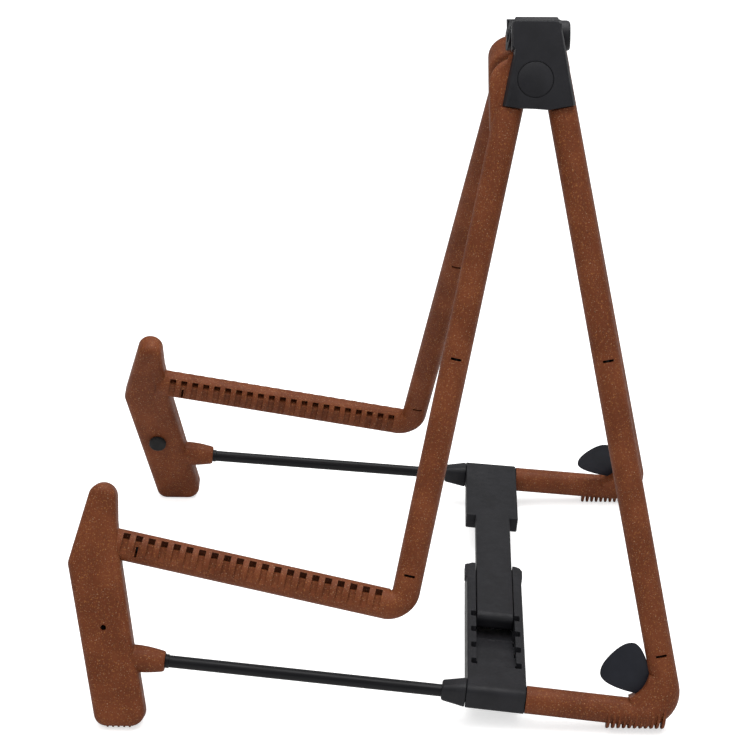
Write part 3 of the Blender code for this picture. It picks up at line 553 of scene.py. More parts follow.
def material(key):
    """The named material of the stand, made once from the current settings."""
    if key not in made_materials:
        props = bpy.context.scene.stand_looks
        makers = {
            "composite": lambda: composite_material(props),
            "black_plastic": lambda: plastic_material(
                "stand_black_plastic", tuple(props.plastic), 0.46, 2600.0, 0.00025),
            "rubber": lambda: plastic_material(
                "stand_rubber", (0.012, 0.012, 0.012), 0.72, 1800.0, 0.0003),
            "pick": lambda: plastic_material(
                "stand_plectrum", (0.011, 0.012, 0.017), 0.40, 3200.0, 0.0001),
            "black_wire": lambda: steel_material(
                "stand_black_wire", (0.004, 0.004, 0.005), 0.0, 0.34),
            "steel": lambda: steel_material(
                "stand_steel", (0.46, 0.46, 0.47), 1.0, 0.3),
        }
        made_materials[key] = makers[key]()
    return made_materials[key]


# Side frame
def loop_path(first_u, last_u, count):
    """Path of the frame loop from the foot, over the apex, to the lower tube."""
    corners = [(first_u, arm_v(first_u)), FRONT_BEND,
               (leg_u(FRONT_LEG_AXIS, APEX_V), APEX_V),
               (leg_u(REAR_LEG_AXIS, APEX_V), APEX_V), REAR_BEND,
               (last_u, lower_v(last_u))]
    return rounded_path(corners, LOOP_RADII, count)


def foot_rings():
    """Foot slab: outline of arcs and fillets with quarter-round rims."""
    outline = np.concatenate([
        arc((-8.4, 117.9), 7.3, 2.0, 158.0, 20),
        fillet((-15.6, 115.3), (-26.2, 84.5), (-13.0, 8.5), 7.0, 9),
        fillet((-26.2, 84.5), (-11.6, 0.5), (0.0, 0.3), 6.5, 10),
        fillet((0.0, 0.3), (14.9, 0.5), (10.6, 27.2), 7.5, 10),
        np.array([(10.4, 28.5), (7.6, 41.2), (1.3, 83.0), (-0.9, 105.0)])])
    return plate(outline, FOOT_W0, FOOT_W1, size("foot_edge"), 8)


def socket_rings():
    """Tapered round socket at the front end of the lower rod."""
    along = unit(1.0, LOWER_AXIS[1])
    u, radius = np.array([(2.0, 7.1), (11.0, 7.0), (15.0, 6.7), (19.0, 6.1), (22.2, 5.5),
                          (23.1, 5.2), (23.5, 4.7)]).T[:, :, None]
    t = np.linspace(0, 2 * math.pi, 32, endpoint=False)
    rise = radius * np.cos(t)
    return frame_xyz(u - along[1] * rise, lower_v(u) - SOCKET_DROP + along[0] * rise,
                     0.6 + radius * np.sin(t))


def rib_rings(u):
    """One rounded rib across the lower tube.

    Its edge is the hull of a small circle that stands on the floor and a
    wider one that hugs the tube.
    """
    along = unit(1.0, LOWER_AXIS[1])
    reach = np.array(RIB_TIP[:2]) - np.array(RIB_WIDE[:2])
    aim = math.degrees(math.atan2(reach[1], reach[0]))
    spread = math.degrees(math.acos((RIB_WIDE[2] - RIB_TIP[2]) / np.hypot(*reach)))
    rings = []
    for shift, less in ((-0.75, 0.65), (-0.6, 0.2), (-0.25, 0.0),
                        (0.25, 0.0), (0.6, 0.2), (0.75, 0.65)):
        edge = np.concatenate([
            arc(RIB_TIP[:2], RIB_TIP[2] - less, aim - spread, aim + spread, 14),
            arc(RIB_WIDE[:2], RIB_WIDE[2] - less, aim + spread, aim + 360 - spread, 34)])
        rise = np.minimum(edge[:, 0], RIB_TOP_V) - RIB_WIDE[0]
        rings.append(frame_xyz(u + along[0] * shift - along[1] * rise,
                               RIB_WIDE[0] + along[1] * shift + along[0] * rise, edge[:, 1]))
    return np.array(rings)


def toe_rings(u):
    """One floor tooth with its tip on an arc across the width of the foot."""
    center_v, center_w, radius = TOE_ARC
    angle = np.radians(np.linspace(-62.0, 58.0, 13))
    w = center_w + (radius - 0.6) * np.sin(angle)
    tip = center_v - radius * np.cos(angle)
    us = np.array([u - 1.25, u + 1.25, u + 0.3, u - 0.3])
    vs = np.stack([tip + 4.4, tip + 4.4, tip, tip], axis=1)
    return frame_xyz(us[None, :], vs, w[:, None])


def pocket_rings(u, face):
    """One scooped pocket: a flat roof and a ramp that runs out of the arm."""
    along = unit(1.0, ARM_AXIS[1])
    t = np.linspace(0, 1, 5)
    rise = np.concatenate([[6.9, 6.9, 3.8, 3.75], 3.7 - 7.2 * t])
    w = np.concatenate([[9.5, 0.8, 0.8, 4.6], 5.2 + 1.3 * t ** 1.5])
    rise = np.append(rise, -3.7)
    w = np.append(w, 9.5)
    shift = np.array([[-1.8], [1.8]])
    return frame_xyz(u + along[0] * shift - along[1] * rise,
                     arm_v(u) + along[1] * shift + along[0] * rise, face * w)


def slit_rings(spot, along, face):
    """One short slit across a tube, deep enough to reach the wire."""
    a = np.array([-2.8, -2.4, 2.4, 2.8, 2.8, 2.4, -2.4, -2.8])
    s = np.array([-0.45, -0.65, -0.65, -0.45, 0.45, 0.65, 0.65, 0.45])
    w = np.array([[2.4], [9.6]])
    return frame_xyz(spot[0] + along[0] * s - along[1] * a,
                     spot[1] + along[1] * s + along[0] * a, face * w)


def box_rings(lo, hi):
    """Box between two corners in world metres."""
    x = np.array([lo[0], hi[0], hi[0], lo[0]])
    y = np.array([lo[1], lo[1], hi[1], hi[1]])
    return np.stack([np.stack([x, y, np.full(4, z)], axis=1) for z in (lo[2], hi[2])])


def pick_outline(grow=0.0):
    """Rounded triangle of the plectrum, its tip in the frame's rear corner."""
    corners = np.array(((0.0, 0.0), (10.0, 14.5), (13.6, 25.5), (9.0, 30.2), (0.0, 31.4),
                        (-9.0, 30.2), (-13.6, 25.5), (-10.0, 14.5)))
    for _ in range(4):
        ahead = np.roll(corners, -1, axis=0)
        corners = np.stack([0.75 * corners + 0.25 * ahead, 0.25 * corners + 0.75 * ahead],
                           axis=1).reshape(-1, 2)
    corners = inset(corners, -grow)
    along = np.array(PICK_DIR) / math.hypot(*PICK_DIR)
    across = np.array([-along[1], along[0]])
    return np.array(PICK_TIP) + corners[:, :1] * across + corners[:, 1:] * along


def nose_outline():
    """Boss that bulges past the front leg and runs out into it below."""
    return rounded_outline([(187.0, 303.5), (186.0, 341.8), (221.0, 341.8),
                            (223.0, 319.4), (203.8, 319.4), (198.7, 303.5)],
                           [3.3, 13.0, 3.3, 3.3, 3.3, 3.3], 12)


def loop_mesh():
    """Bent tube of the frame, a little thicker along the arm."""
    path = loop_path(LOOP_START_U, TUBE_END_U, 14)
    arm = np.linspace(path[0], path[1], 6)
    path = np.concatenate([arm, path[2:]])
    share = np.where(np.arange(len(path)) < 6, 1.0,
                     np.clip(1.0 - (np.arange(len(path)) - 5) / 6.0, 0.0, 1.0))
    return solid("near_frame_form", sweep(path, TUBE_RADIUS + 0.85 * share,
                                          TUBE_RADIUS + 0.2 * share, 40))


def web_rings():
    """Web that joins the legs under the hub."""
    web = rounded_outline([(190.9, 317.6), (228.6, 317.6), (223.6, 343.4),
                           (196.0, 343.4)], [1.0, 1.0, 1.0, 1.0], 4)
    return plate(web, -6.3, 5.2, 0.3, 3)


def corner_rings():
    """Fill of the inner rear corner that takes the plectrum's slot."""
    corner = np.concatenate([arc((256.2, 32.55), 14.8, -72.0, -9.0, 20),
                             np.array([(275.6, 30.0), (281.2, 15.4), (275.6, 9.2),
                                       (262.5, 10.4)])])
    return plate(corner, -5.9, 5.9, 1.6, 4, center=np.array((268.0, 20.0)))


def cap_seat_rings():
    """Flat recess in the outer face that the cap lies in."""
    seat = np.array([(184.0, 318.6), (201.5, 315.5), (209.0, 315.2), (216.5, 314.7),
                     (234.0, 318.7), (232.0, 352.0), (186.0, 352.0)])
    return frame_xyz(seat[:, 0], seat[:, 1], np.array([[CAP_SEAT_W], [14.0]]))


def hole_rings():
    """Bore for the wire, the pad's two holes and the screws' stepped holes."""
    holes = [sweep(loop_path(LOOP_START_U - 0.6, -4.6, 14), WIRE_BORE, WIRE_BORE, 28),
             turned(PAD_SPOT, ((-12.0, 1.45), (5.6, 1.45)), 24),
             turned((PAD_SPOT[0] + 1.1, PAD_SPOT[1] + 1.4), ((3.0, 1.5), (14.0, 1.5)), 24)]
    for spot in SCREW_SPOTS:
        holes.append(turned(spot, ((-20, 3.1), (-12, 3.1), (-11.9, 1.6), (9, 1.6)), 24))
    return holes


def face_slit_rings(face):
    """Slits of both legs and the arm on the outer (1) or inner (-1) face."""
    front = unit(FRONT_LEG_AXIS[1], 1.0)
    rear = unit(REAR_LEG_AXIS[1], 1.0)
    slits = [((leg_u(FRONT_LEG_AXIS, v) + 0.3, v), front) for v in FRONT_SLIT_V]
    slits += [((leg_u(REAR_LEG_AXIS, v) + 0.3, v), rear) for v in REAR_SLIT_V]
    slits.append(((ARM_SLIT_U, arm_v(ARM_SLIT_U) - 1.3), unit(1.0, ARM_AXIS[1])))
    return [slit_rings(spot, along, face) for spot, along in slits]


def frame_mesh():
    """Near side frame: all that is moulded on, then all that is cut away."""
    obj = loop_mesh()
    add_all(obj, [foot_rings(), socket_rings(), web_rings(), corner_rings(),
                  plate(nose_outline(), *NOSE_W, 2.6, 6)])
    add_all(obj, [rib_rings(RIB_FIRST_U + RIB_PITCH * i) for i in range(RIB_COUNT)])
    add_all(obj, [toe_rings(TOE_PITCH * (i - TOE_COUNT // 2)) for i in range(TOE_COUNT)])
    pick_slot = plate(pick_outline(0.35), -0.8, 0.8, 0.01, 2)
    under_floor = box_rings((0.05, -0.25, -0.02), (0.20, 0.25, 0.0))
    cut_all(obj, [cap_seat_rings(), pick_slot, under_floor] + hole_rings())
    for face in (1, -1):
        cut_all(obj, face_slit_rings(face))
        cut_all(obj, [pocket_rings(u, face) for u in np.linspace(*POCKET_U, POCKET_COUNT)])
    return obj


class STAND_OT_frames(bpy.types.Operator):
    """Build both brown side frames with their pockets, slits, ribs and teeth"""
    bl_idname = "stand.frames"
    bl_label = "Side frames"

    def execute(self, context):
        dress_pair(soften(frame_mesh(), 34.0), "composite", "frame")
        return {'FINISHED'}


class STAND_OT_rods(bpy.types.Operator):
    """Build the two straight lower rods"""
    bl_idname = "stand.rods"
    bl_label = "Lower rods"

    def execute(self, context):
        u = np.array([-3.8, -3.5, -3.2, 23.6, 23.7, 25.4, 25.7, ROD_END_U - 0.6,
                      ROD_END_U - 0.3, ROD_END_U])
        radius = size("rod_radius") + np.array([-0.8, -0.35, 0, 0, 0.4, 0.4, 0, 0,
                                                -0.35, -0.8])
        path = np.stack([u, lower_v(u) - 1.25 + 0.0065 * u], axis=1)
        near = soften(solid("near_rod_form", sweep(path, radius, radius, 40)), 35.0)
        dress_pair(near, "black_wire", "lower_rod")
        return {'FINISHED'}


# Hub
def cap_plate_rings(side):
    """Outer plate of a cap, drawn in towards its face."""
    face = np.array(((195.2, 317.2), (201.5, 316.3), (209.0, 316.1), (216.5, 315.6),
                     (228.2, 317.8), (225.4, 331.5), (223.2, 345.5), (221.0, 358.4),
                     (219.6, 359.6), (199.0, 359.6), (197.9, 358.4), (198.2, 347.5),
                     (199.8, 345.2), (197.6, 331.5)))
    shell = np.array(((193.0, 317.7), (201.5, 316.3), (209.0, 316.1), (216.5, 315.6),
                      (229.8, 318.2), (227.2, 331.5), (224.6, 345.5), (222.2, 358.4),
                      (221.0, 360.3), (198.2, 360.3), (197.2, 358.4), (197.2, 347.5),
                      (198.6, 345.2), (195.6, 331.5)))
    if side == FAR:
        top = np.array(((222.2, FAR_CAP_TOP_V), (200.6, FAR_CAP_TOP_V)))
        face = np.concatenate([face[:7], top, face[12:]])
        shell = np.concatenate([shell[:7], top + ((1.4, 0.0), (-1.2, 0.0)), shell[12:]])
    w = np.array([CAP_SEAT_W + 0.3, 7.6, 8.9, CAP_FACE_W])[:, None]
    share = np.array([0.0, 0.55, 0.85, 1.15])[:, None, None]
    spots = shell + (face - shell) * share
    return frame_xyz(spots[..., 0], spots[..., 1], w)


def hub_rings(section, u0, u1):
    """Solid drawn along the hinge from a (v, w) section."""
    section = np.array(section, float)
    return frame_xyz(np.array([[u0], [u1]]), section[:, 0], section[:, 1])


def barrel_section(start, stop, count, tail):
    """Round barrel outline with the corners of the web that carries it."""
    angle = np.radians(np.linspace(start, stop, count))
    barrel = np.stack([HINGE_V + BARREL_RADIUS * np.cos(angle),
                       HINGE_W - BARREL_RADIUS * np.sin(angle)], axis=1)
    return np.concatenate([barrel, np.array(tail, float)])


def near_hub_pieces():
    """Block and barrel on top of the near cap."""
    section = barrel_section(-30.0, 225.0, 44, [(345.6, -9.6), (345.6, 8.0),
                                                (358.6, 7.6), (360.0, 6.2)])
    return [hub_rings(section, KNUCKLE_U[0] - 0.6, KNUCKLE_U[1])]


def far_hub_pieces():
    """Bridge on top of the far cap and the lugs at both ends of the barrel."""
    bridge = hub_rings([(345.6, 8.0), (346.6, 8.0), (FAR_CAP_TOP_V, 6.6),
                        (358.3, -10.4), (345.6, -10.4)],
                       LUG_FRONT_U[0] + 0.4, LUG_REAR_U[0] + 0.7)
    section = barrel_section(-30.0, 225.0, 44, [(347.6, -6.5), (355.7, -6.5)])
    front = hub_rings(section, *LUG_FRONT_U)
    front[0, :, 1] += (0.17 * (section[:, 0] - 349.5)).clip(-0.4, 1.6) * MM
    middle = np.array((HINGE_V, HINGE_W))
    rear = [hub_rings(middle + (section - middle) * share, u, u)[0]
            for u, share in ((LUG_REAR_U[0], 1.0), (LUG_REAR_U[1] - 1.3, 1.0),
                             (LUG_REAR_U[1] - 0.4, 0.95), (LUG_REAR_U[1], 0.84))]
    return [bridge, front, np.array(rear)]


def hinge_hole(radius, u0, u1):
    """Round hole along the hinge."""
    t = np.linspace(0, 2 * math.pi, 32, endpoint=False)
    circle = np.stack([np.cos(t), np.sin(t)], axis=1)
    return hub_rings(np.array([HINGE_V, HINGE_W]) + radius * circle, u0, u1)


def cap_mesh(side):
    """Cap with its plate, block and barrel, bored for the pin and the screws."""
    obj = solid(SIDE_NAMES[side] + "_cap_form", cap_plate_rings(side))
    add_all(obj, near_hub_pieces() if side == NEAR else far_hub_pieces())
    edge_round(obj, size("cap_edge"), 38.0)
    cut_all(obj, [hinge_hole(PIN_HOLE, 190.0, 235.0),
                  turned(BADGE_SPOT, ((CAP_FACE_W - 1.1, BADGE_HOLE), (14.0, BADGE_HOLE)), 64)])
    cut_all(obj, [turned(spot, ((0.0, 1.5), (7.4, 1.5)), 24) for spot in SCREW_SPOTS])
    if side == FAR:
        cut_all(obj, [hinge_hole(PLUG_HOLE, 190.0, LUG_FRONT_U[0] + 1.1),
                      hinge_hole(PLUG_HOLE, LUG_REAR_U[1] - 1.3, 235.0)])
        turn_over(obj.data)
    return soften(obj, 30.0)


class STAND_OT_caps(bpy.types.Operator):
    """Build the two black caps with their hinge barrel and lugs"""
    bl_idname = "stand.caps"
    bl_label = "Hub caps"

    def execute(self, context):
        for side in (NEAR, FAR):
            name = SIDE_NAMES[side]
            dress(cap_mesh(side), "black_plastic", name + "_side", name + "_cap")
        return {'FINISHED'}


# Crossbar
def sleeve_rings():
    """Rounded sleeve round the lower rod."""
    rows = []
    for b, shrink in ((SLEEVE_B[0], 0.6), (SLEEVE_B[0] + 0.2, 0.2),
                      (SLEEVE_B[0] + 0.6, 0.0), (SLEEVE_B[1] - 0.6, 0.0),
                      (SLEEVE_B[1] - 0.2, 0.2), (SLEEVE_B[1], 0.6)):
        rows.append(rod_ring(b, SLEEVE_HALF - shrink, BAR_TOP - shrink, 3.9 - shrink))
    return np.array(rows)


def rod_ring(b, half_out, half_up, corner):
    """Rounded rectangle about the lower rod's axis, its underside a little higher."""
    t = np.linspace(0, 2 * math.pi, 40, endpoint=False) + math.pi / 80
    out = np.sign(np.cos(t)) * (half_out - corner) + corner * np.cos(t)
    up = np.sign(np.sin(t)) * (half_up - corner) + corner * np.sin(t)
    up = np.where(up < 0, 0.9 * up, up)
    return rod_xyz(b, out, up)


def rod_hole():
    """Round hole through a sleeve."""
    t = np.linspace(0, 2 * math.pi, 40, endpoint=False)
    return rod_xyz(np.array([[-25.0], [25.0]]), SLEEVE_HOLE * np.cos(t),
                   SLEEVE_HOLE * np.sin(t))


def notch_rings(x, sign):
    """One notch with slanted far corners, in the rail on the side of sign."""
    xs = x + min(sign, 0) * 1.4 + np.array([-2.8, 2.8, 2.8, 2.2, -2.2, -2.8])
    bs = sign * np.array([9.8, 9.8, 12.6, 13.2, 13.2, 12.6])
    return bar_xyz(xs, bs, np.array([[-2.4], [12.0]]))


def channel_mesh():
    """Channel body, sleeve, ramped cavity and the four pairs of notches."""
    half = BAR_HALF_WIDTH
    tip = CHANNEL_TIP_X
    plan = np.array([(ROD_X, -half), (tip + 2.2, -half), (tip, -half + 2.8),
                     (tip, half - 3.0), (tip + 1.4, half - 0.6),
                     (tip + 4.5, half + 0.8), (tip + 12.0, half + 0.7),
                     (tip + 20.0, half), (ROD_X, half)])
    obj = solid("channel_form", bar_xyz(*plan.T, np.array([[-6.4], [BAR_TOP]])))
    edge_round(obj, size("bar_edge"), 30.0)
    lip = np.array([(tip + 17.0, -half + 0.5), (tip + 16.0, -half - 1.1),
                    (tip + 3.0, -half - 1.1), (tip + 1.6, -half + 0.5)])
    lip_rings = bar_xyz(*lip.T, np.array([[BAR_TOP - 4.0], [BAR_TOP - 0.3]]))
    add_all(obj, [lip_rings, sleeve_rings()])
    x, h = np.array(((tip - 6, 12.0), (tip - 6, -12.0), (25.0, -12.0), (25.0, -5.4),
                     (62.0, -5.4), (68.0, -2.0), (76.0, 0.2), (112.0, 6.1),
                     (113.0, 12.0))).T
    cavity = bar_xyz(x, np.array([[-CAVITY_HALF], [CAVITY_HALF]]), h)
    cut_all(obj, [cavity] + [notch_rings(x, sign) for x in NOTCH_X for sign in (-1, 1)])
    cut_all(obj, [rod_hole()])
    edge_round(obj, 0.3, 40.0)
    return soften(obj, 32.0)


def blade_mesh(end):
    """Narrow blade of the tongue with its rolled end."""
    start = -PLATE_END_X + 6.0
    top = BAR_TOP - 0.02
    roll = fillet((40.0, top), (end, top), (end, -1.7), 4.2, 12)
    x, h = np.concatenate([[(start, top)], roll,
                           [(end, -0.7), (end + 1.0, -1.7), (end + 8.4, -1.7),
                            (end + 10.4, 1.0), (start, 1.0)]]).T
    blade = solid("blade", bar_xyz(x, np.array([[-9.8], [10.0]]), h))
    edge_round(blade, 0.5, 35.0)
    return blade


def tongue_mesh():
    """Wide plate, narrow blade with its rolled end, and the sleeve."""
    half = BAR_HALF_WIDTH - 0.1
    end = -TONGUE_TIP_X
    x, b = np.array(((ROD_X, half), (-PLATE_END_X, half), (-PLATE_END_X, -half),
                     (ROD_X, -half))).T
    obj = solid("tongue_form", bar_xyz(x, b, np.array([[-2.0], [BAR_TOP]])))
    edge_round(obj, size("bar_edge"), 30.0)
    combine(obj, blade_mesh(end), 'UNION')
    add_all(obj, [sleeve_rings()])
    t = np.linspace(0, 2 * math.pi, 28, endpoint=False)
    pin = bar_xyz(end + 4.9 + CROSS_PIN_HOLE * np.cos(t), np.array([[-20.0], [20.0]]),
                  1.9 + CROSS_PIN_HOLE * np.sin(t))
    cut_all(obj, [rod_hole(), pin])
    turn_over(obj.data)
    return soften(obj, 32.0)


class STAND_OT_crossbar(bpy.types.Operator):
    """Build the channel and the tongue of the telescoping crossbar"""
    bl_idname = "stand.crossbar"
    bl_label = "Crossbar"

    def execute(self, context):
        dress(channel_mesh(), "black_plastic", "channel", "crossbar_channel")
        dress(tongue_mesh(), "black_plastic", "tongue", "crossbar_tongue")
        return {'FINISHED'}


class STAND_OT_collars(bpy.types.Operator):
    """Build the tapered collars in front of the crossbar sleeves"""
    bl_idname = "stand.collars"
    bl_label = "Collars"

    def execute(self, context):
        start = COLLAR_U[0] - BAR_Y
        stop = COLLAR_U[1] - BAR_Y
        rows = [rod_ring(b, o, h, c) for b, o, h, c in (
            (start, 3.9, 4.3, 3.4), (start + 0.25, 4.3, 4.75, 3.3),
            (start + 0.8, 4.6, 5.1, 3.2), (stop - 0.6, 6.3, 6.8, 3.7),
            (stop - 0.15, 6.2, 6.7, 3.7), (stop, 5.9, 6.4, 3.6),
            (stop, WIRE_BORE, WIRE_BORE, WIRE_BORE),
            (start, WIRE_BORE, WIRE_BORE, WIRE_BORE))]
        near = soften(solid("near_collar_form", np.array(rows), closed=True), 30.0)
        dress_pair(near, "black_plastic", "nose_collar")
        return {'FINISHED'}


class STAND_OT_small_parts(bpy.types.Operator):
    """Build the foot pads and the two plectrums"""
    bl_idname = "stand.small_parts"
    bl_label = "Pads and plectrums"

    def execute(self, context):
        rings = turned(PAD_SPOT, ((-9.3, 2.6), (-9.3, 3.6), (-9.15, 4.2), (-8.8, 4.75),
                                  (-8.3, 5.0), (-6.6, 5.0), (-6.3, 4.8), (-6.25, 1.2),
                                  (4.9, 1.2), (5.0, 1.0)), 48)
        dress_pair(soften(solid("near_pad_form", rings), 35.0), "rubber", "foot_pad")
        half = size("pick_thickness") / 2
        rings = plate(pick_outline(), -half, half, 0.7 * half, 5)
        dress_pair(soften(solid("near_pick_form", rings), 40.0), "pick", "plectrum",
                   "plectrum")
        return {'FINISHED'}


class STAND_OT_carried(bpy.types.Operator):
    """Give the pieces kept from the solid model smooth shading and finishes"""
    bl_idname = "stand.carried"
    bl_label = "Kept pieces"

    def execute(self, context):
        slots = {row["node"]: row["material_slot"]
                 for row in frame["record"]["subparts"]}
        for name, obj in frame["nodes"].items():
            if obj.hide_render:
                continue
            obj.data.materials.clear()
            obj.data.materials.append(material(slots[name]))
            obj.data.polygons.foreach_set("use_smooth",
                                          np.ones(len(obj.data.polygons), bool))
            weld = obj.modifiers.new("weld", 'WELD')
            weld.merge_threshold = 0.00001
            split = obj.modifiers.new("split", 'EDGE_SPLIT')
            split.split_angle = math.radians(35.0)
        return {'FINISHED'}


# Stage
def area_light(name, place, aim, size, power, color):
    """Soft square light at a place, turned towards a point."""
    data = bpy.data.lights.new(name, 'AREA')
    data.shape = 'SQUARE'
    data.size = size
    data.energy = power
    data.color = color
    obj = bpy.data.objects.new(name, data)
    bpy.context.scene.collection.objects.link(obj)
    away = np.array(place, float) - np.array(aim, float)
    away /= np.linalg.norm(away)
    side = np.cross((0.0, 0.0, 1.0), away)
    side /= np.linalg.norm(side)
    up = np.cross(away, side)
    obj.matrix_world = Matrix([[side[i], up[i], away[i], place[i]] for i in range(3)]
                              + [[0, 0, 0, 1]])


def floor_plane():
    """White floor that keeps the shadow and glows a little for the camera."""
    mesh = bpy.data.meshes.new("floor")
    far = FLOOR_REACH
    mesh.from_pydata([(-far, -far, 0), (far, -far, 0), (far, far, 0), (-far, far, 0)],
                     [], [(0, 1, 2, 3)])
    link("floor", mesh)
    mat, tree, shader = new_material("stage_floor")
    shader.inputs["Base Color"].default_value = (0.80, 0.80, 0.80, 1.0)
    shader.inputs["Roughness"].default_value = 0.95
    shader.inputs["Specular IOR Level"].default_value = 0.05
    shader.inputs["Emission Color"].default_value = (1.0, 1.0, 1.0, 1.0)
    seen = tree.nodes.new("ShaderNodeLightPath")
    spot = tree.nodes.new("ShaderNodeTexCoord")
    reach = tree.nodes.new("ShaderNodeVectorMath")
    reach.operation = 'LENGTH'
    glow = tree.nodes.new("ShaderNodeMath")
    glow.operation = 'MULTIPLY'
    tree.links.new(spot.outputs["Object"], reach.inputs[0])
    tree.links.new(ramp(tree, reach.outputs["Value"], 0.6, 1.4, 0.62, 0.74),
                   glow.inputs[0])
    tree.links.new(seen.outputs["Is Camera Ray"], glow.inputs[1])
    tree.links.new(glow.outputs[0], shader.inputs["Emission Strength"])
    mesh.materials.append(mat)


def white_sky(strength):
    """Sky of that strength, which the camera itself sees as plain white."""
    world = bpy.data.worlds.new("stage_world")
    bpy.context.scene.world = world
    world.use_nodes = True
    nodes = world.node_tree.nodes
    links = world.node_tree.links
    back = nodes["Background"]
    back.inputs["Color"].default_value = (1.0, 1.0, 1.0, 1.0)
    back.inputs["Strength"].default_value = strength
    white = nodes.new("ShaderNodeBackground")
    white.inputs["Color"].default_value = (1.0, 1.0, 1.0, 1.0)
    white.inputs["Strength"].default_value = 1.0
    ray = nodes.new("ShaderNodeLightPath")
    choose = nodes.new("ShaderNodeMixShader")
    links.new(ray.outputs["Is Camera Ray"], choose.inputs[0])
    links.new(back.outputs[0], choose.inputs[1])
    links.new(white.outputs[0], choose.inputs[2])
    links.new(choose.outputs[0], nodes["World Output"].inputs["Surface"])


def studio_camera():
    """Camera at the photograph's viewing angle."""
    camera = bpy.data.cameras.new("camera")
    camera.sensor_width = SENSOR_WIDTH
    camera.lens = SENSOR_WIDTH * FOCAL_LENGTH / PICTURE_SIZE
    camera.clip_end = 50.0
    obj = bpy.data.objects.new("camera", camera)
    bpy.context.scene.collection.objects.link(obj)
    forward = np.array(CAMERA_FORWARD)
    forward /= np.linalg.norm(forward)
    right = np.array(CAMERA_RIGHT)
    right -= forward * right.dot(forward)
    right /= np.linalg.norm(right)
    up = np.cross(right, forward)
    obj.matrix_world = Matrix([[right[i], up[i], -forward[i], CAMERA_PLACE[i]]
                               for i in range(3)] + [[0, 0, 0, 1]])
    bpy.context.scene.camera = obj


class STAND_OT_stage(bpy.types.Operator):
    """Set up the floor, the studio light and the camera"""
    bl_idname = "stand.stage"
    bl_label = "Stage"

    def execute(self, context):
        looks = context.scene.stand_looks
        context.scene.view_settings.view_transform = 'Standard'
        floor_plane()
        white_sky(looks.sky_strength)
        area_light("key", (0.9, -0.9, 1.7), (0, 0, 0.15), 1.1, looks.key_power,
                   (1.0, 0.99, 0.97))
        area_light("top", (-0.1, 0.15, 1.3), (0, 0, 0.1), 1.3, looks.top_power,
                   (1.0, 1.0, 1.0))
        area_light("side", (1.6, 0.9, 0.9), (0, 0, 0.15), 1.0, looks.side_power,
                   (0.97, 0.98, 1.0))
        studio_camera()
        return {'FINISHED'}


# Settings, panel and run
def color_setting(name, text, value):
    """Colour property of the settings."""
    return bpy.props.FloatVectorProperty(name=name, description=text, default=value,
                                         size=3, min=0.0, max=1.0, subtype='COLOR')


def size_setting(name, text, value):
    """Length property of the settings, its default given in millimetres."""
    return bpy.props.FloatProperty(name=name, description=text, default=value * MM,
                                   min=0.1 * MM, soft_max=2 * value * MM, precision=5,
                                   unit='LENGTH')


class StandSizes(bpy.types.PropertyGroup):
    """Roundings and thicknesses of the stand"""
    foot_edge: size_setting("Foot rims", "Rounding of the foot's rims", 4.4)
    rod_radius: size_setting("Rod radius", "Radius of the straight lower rods", 3.2)
    cap_edge: size_setting("Cap edges", "Rounding of the caps' edges", 0.55)
    bar_edge: size_setting("Crossbar edges", "Rounding of the crossbar's edges", 0.8)
    pick_thickness: size_setting("Plectrum", "Thickness of the plectrums", 1.0)


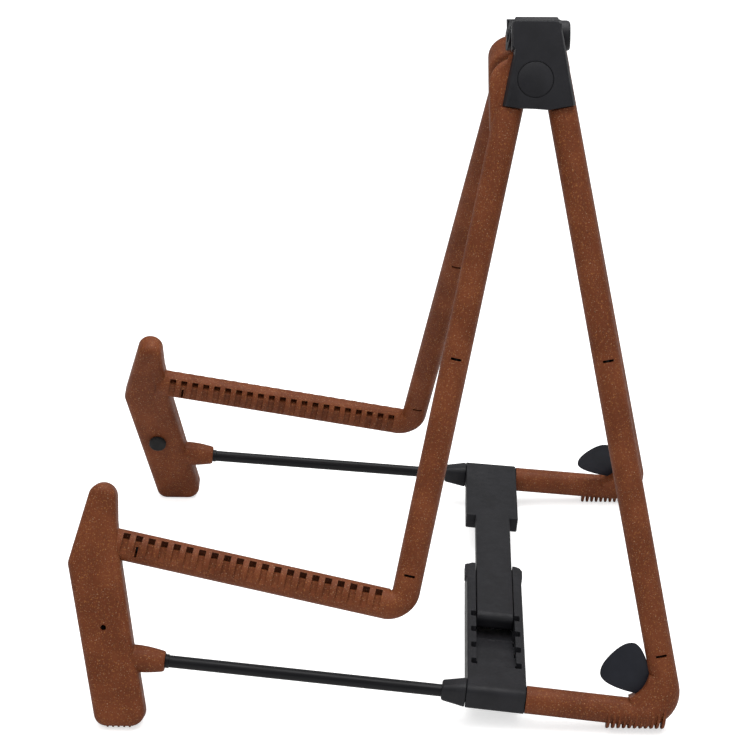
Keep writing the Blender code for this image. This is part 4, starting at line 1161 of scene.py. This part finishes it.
class StandLooks(bpy.types.PropertyGroup):
    """Colours and light of the stand"""
    composite_dark: color_setting("Composite dark", "Darker brown of the frames",
                                  (0.112, 0.030, 0.0105))
    composite_light: color_setting("Composite light", "Lighter brown of the frames",
                                   (0.165, 0.047, 0.017))
    composite_red: color_setting("Composite red", "Reddish brown between the fibres",
                                 (0.140, 0.033, 0.012))
    fleck_orange: color_setting("Orange flecks", "Colour of the orange flecks",
                                (0.40, 0.165, 0.05))
    fleck_pale: color_setting("Pale flecks", "Colour of the pale flecks",
                              (0.62, 0.42, 0.26))
    plastic: color_setting("Plastic", "Colour of the black plastic",
                           (0.010, 0.010, 0.012))
    key_power: bpy.props.FloatProperty(name="Key light", description="Power of the key light",
                                       default=9.0, min=0.0, unit='POWER')
    top_power: bpy.props.FloatProperty(name="Top light", description="Power of the top light",
                                       default=19.0, min=0.0, unit='POWER')
    side_power: bpy.props.FloatProperty(name="Side light",
                                        description="Power of the side light",
                                        default=4.0, min=0.0, unit='POWER')
    sky_strength: bpy.props.FloatProperty(name="Sky", description="Strength of the sky",
                                          default=0.4, min=0.0)


STEPS = (STAND_OT_frames, STAND_OT_rods, STAND_OT_caps, STAND_OT_crossbar,
         STAND_OT_collars, STAND_OT_small_parts, STAND_OT_carried, STAND_OT_stage)


class STAND_PT_panel(bpy.types.Panel):
    """Steps that build the stand"""
    bl_idname = "STAND_PT_panel"
    bl_label = "Guitar stand"
    bl_space_type = 'VIEW_3D'
    bl_region_type = 'UI'
    bl_category = "Stand"

    def draw(self, context):
        for group, kind in ((context.scene.stand_sizes, StandSizes),
                            (context.scene.stand_looks, StandLooks)):
            for name in kind.__annotations__:
                self.layout.prop(group, name)
        for step in STEPS:
            self.layout.operator(step.bl_idname)


CLASSES = (StandSizes, StandLooks, STAND_PT_panel) + STEPS


def register():
    """Register the classes and the settings."""
    for item in CLASSES:
        bpy.utils.register_class(item)
    bpy.types.Scene.stand_sizes = bpy.props.PointerProperty(type=StandSizes)
    bpy.types.Scene.stand_looks = bpy.props.PointerProperty(type=StandLooks)


def unregister():
    """Remove the settings and the classes."""
    del bpy.types.Scene.stand_looks
    del bpy.types.Scene.stand_sizes
    for item in reversed(CLASSES):
        bpy.utils.unregister_class(item)


def main():
    """Build every piece."""
    register()
    bpy.ops.stand.frames()
    bpy.ops.stand.rods()
    bpy.ops.stand.caps()
    bpy.ops.stand.crossbar()
    bpy.ops.stand.collars()
    bpy.ops.stand.small_parts()
    bpy.ops.stand.carried()
    bpy.ops.stand.stage()


if __name__ == "__main__":
    main()
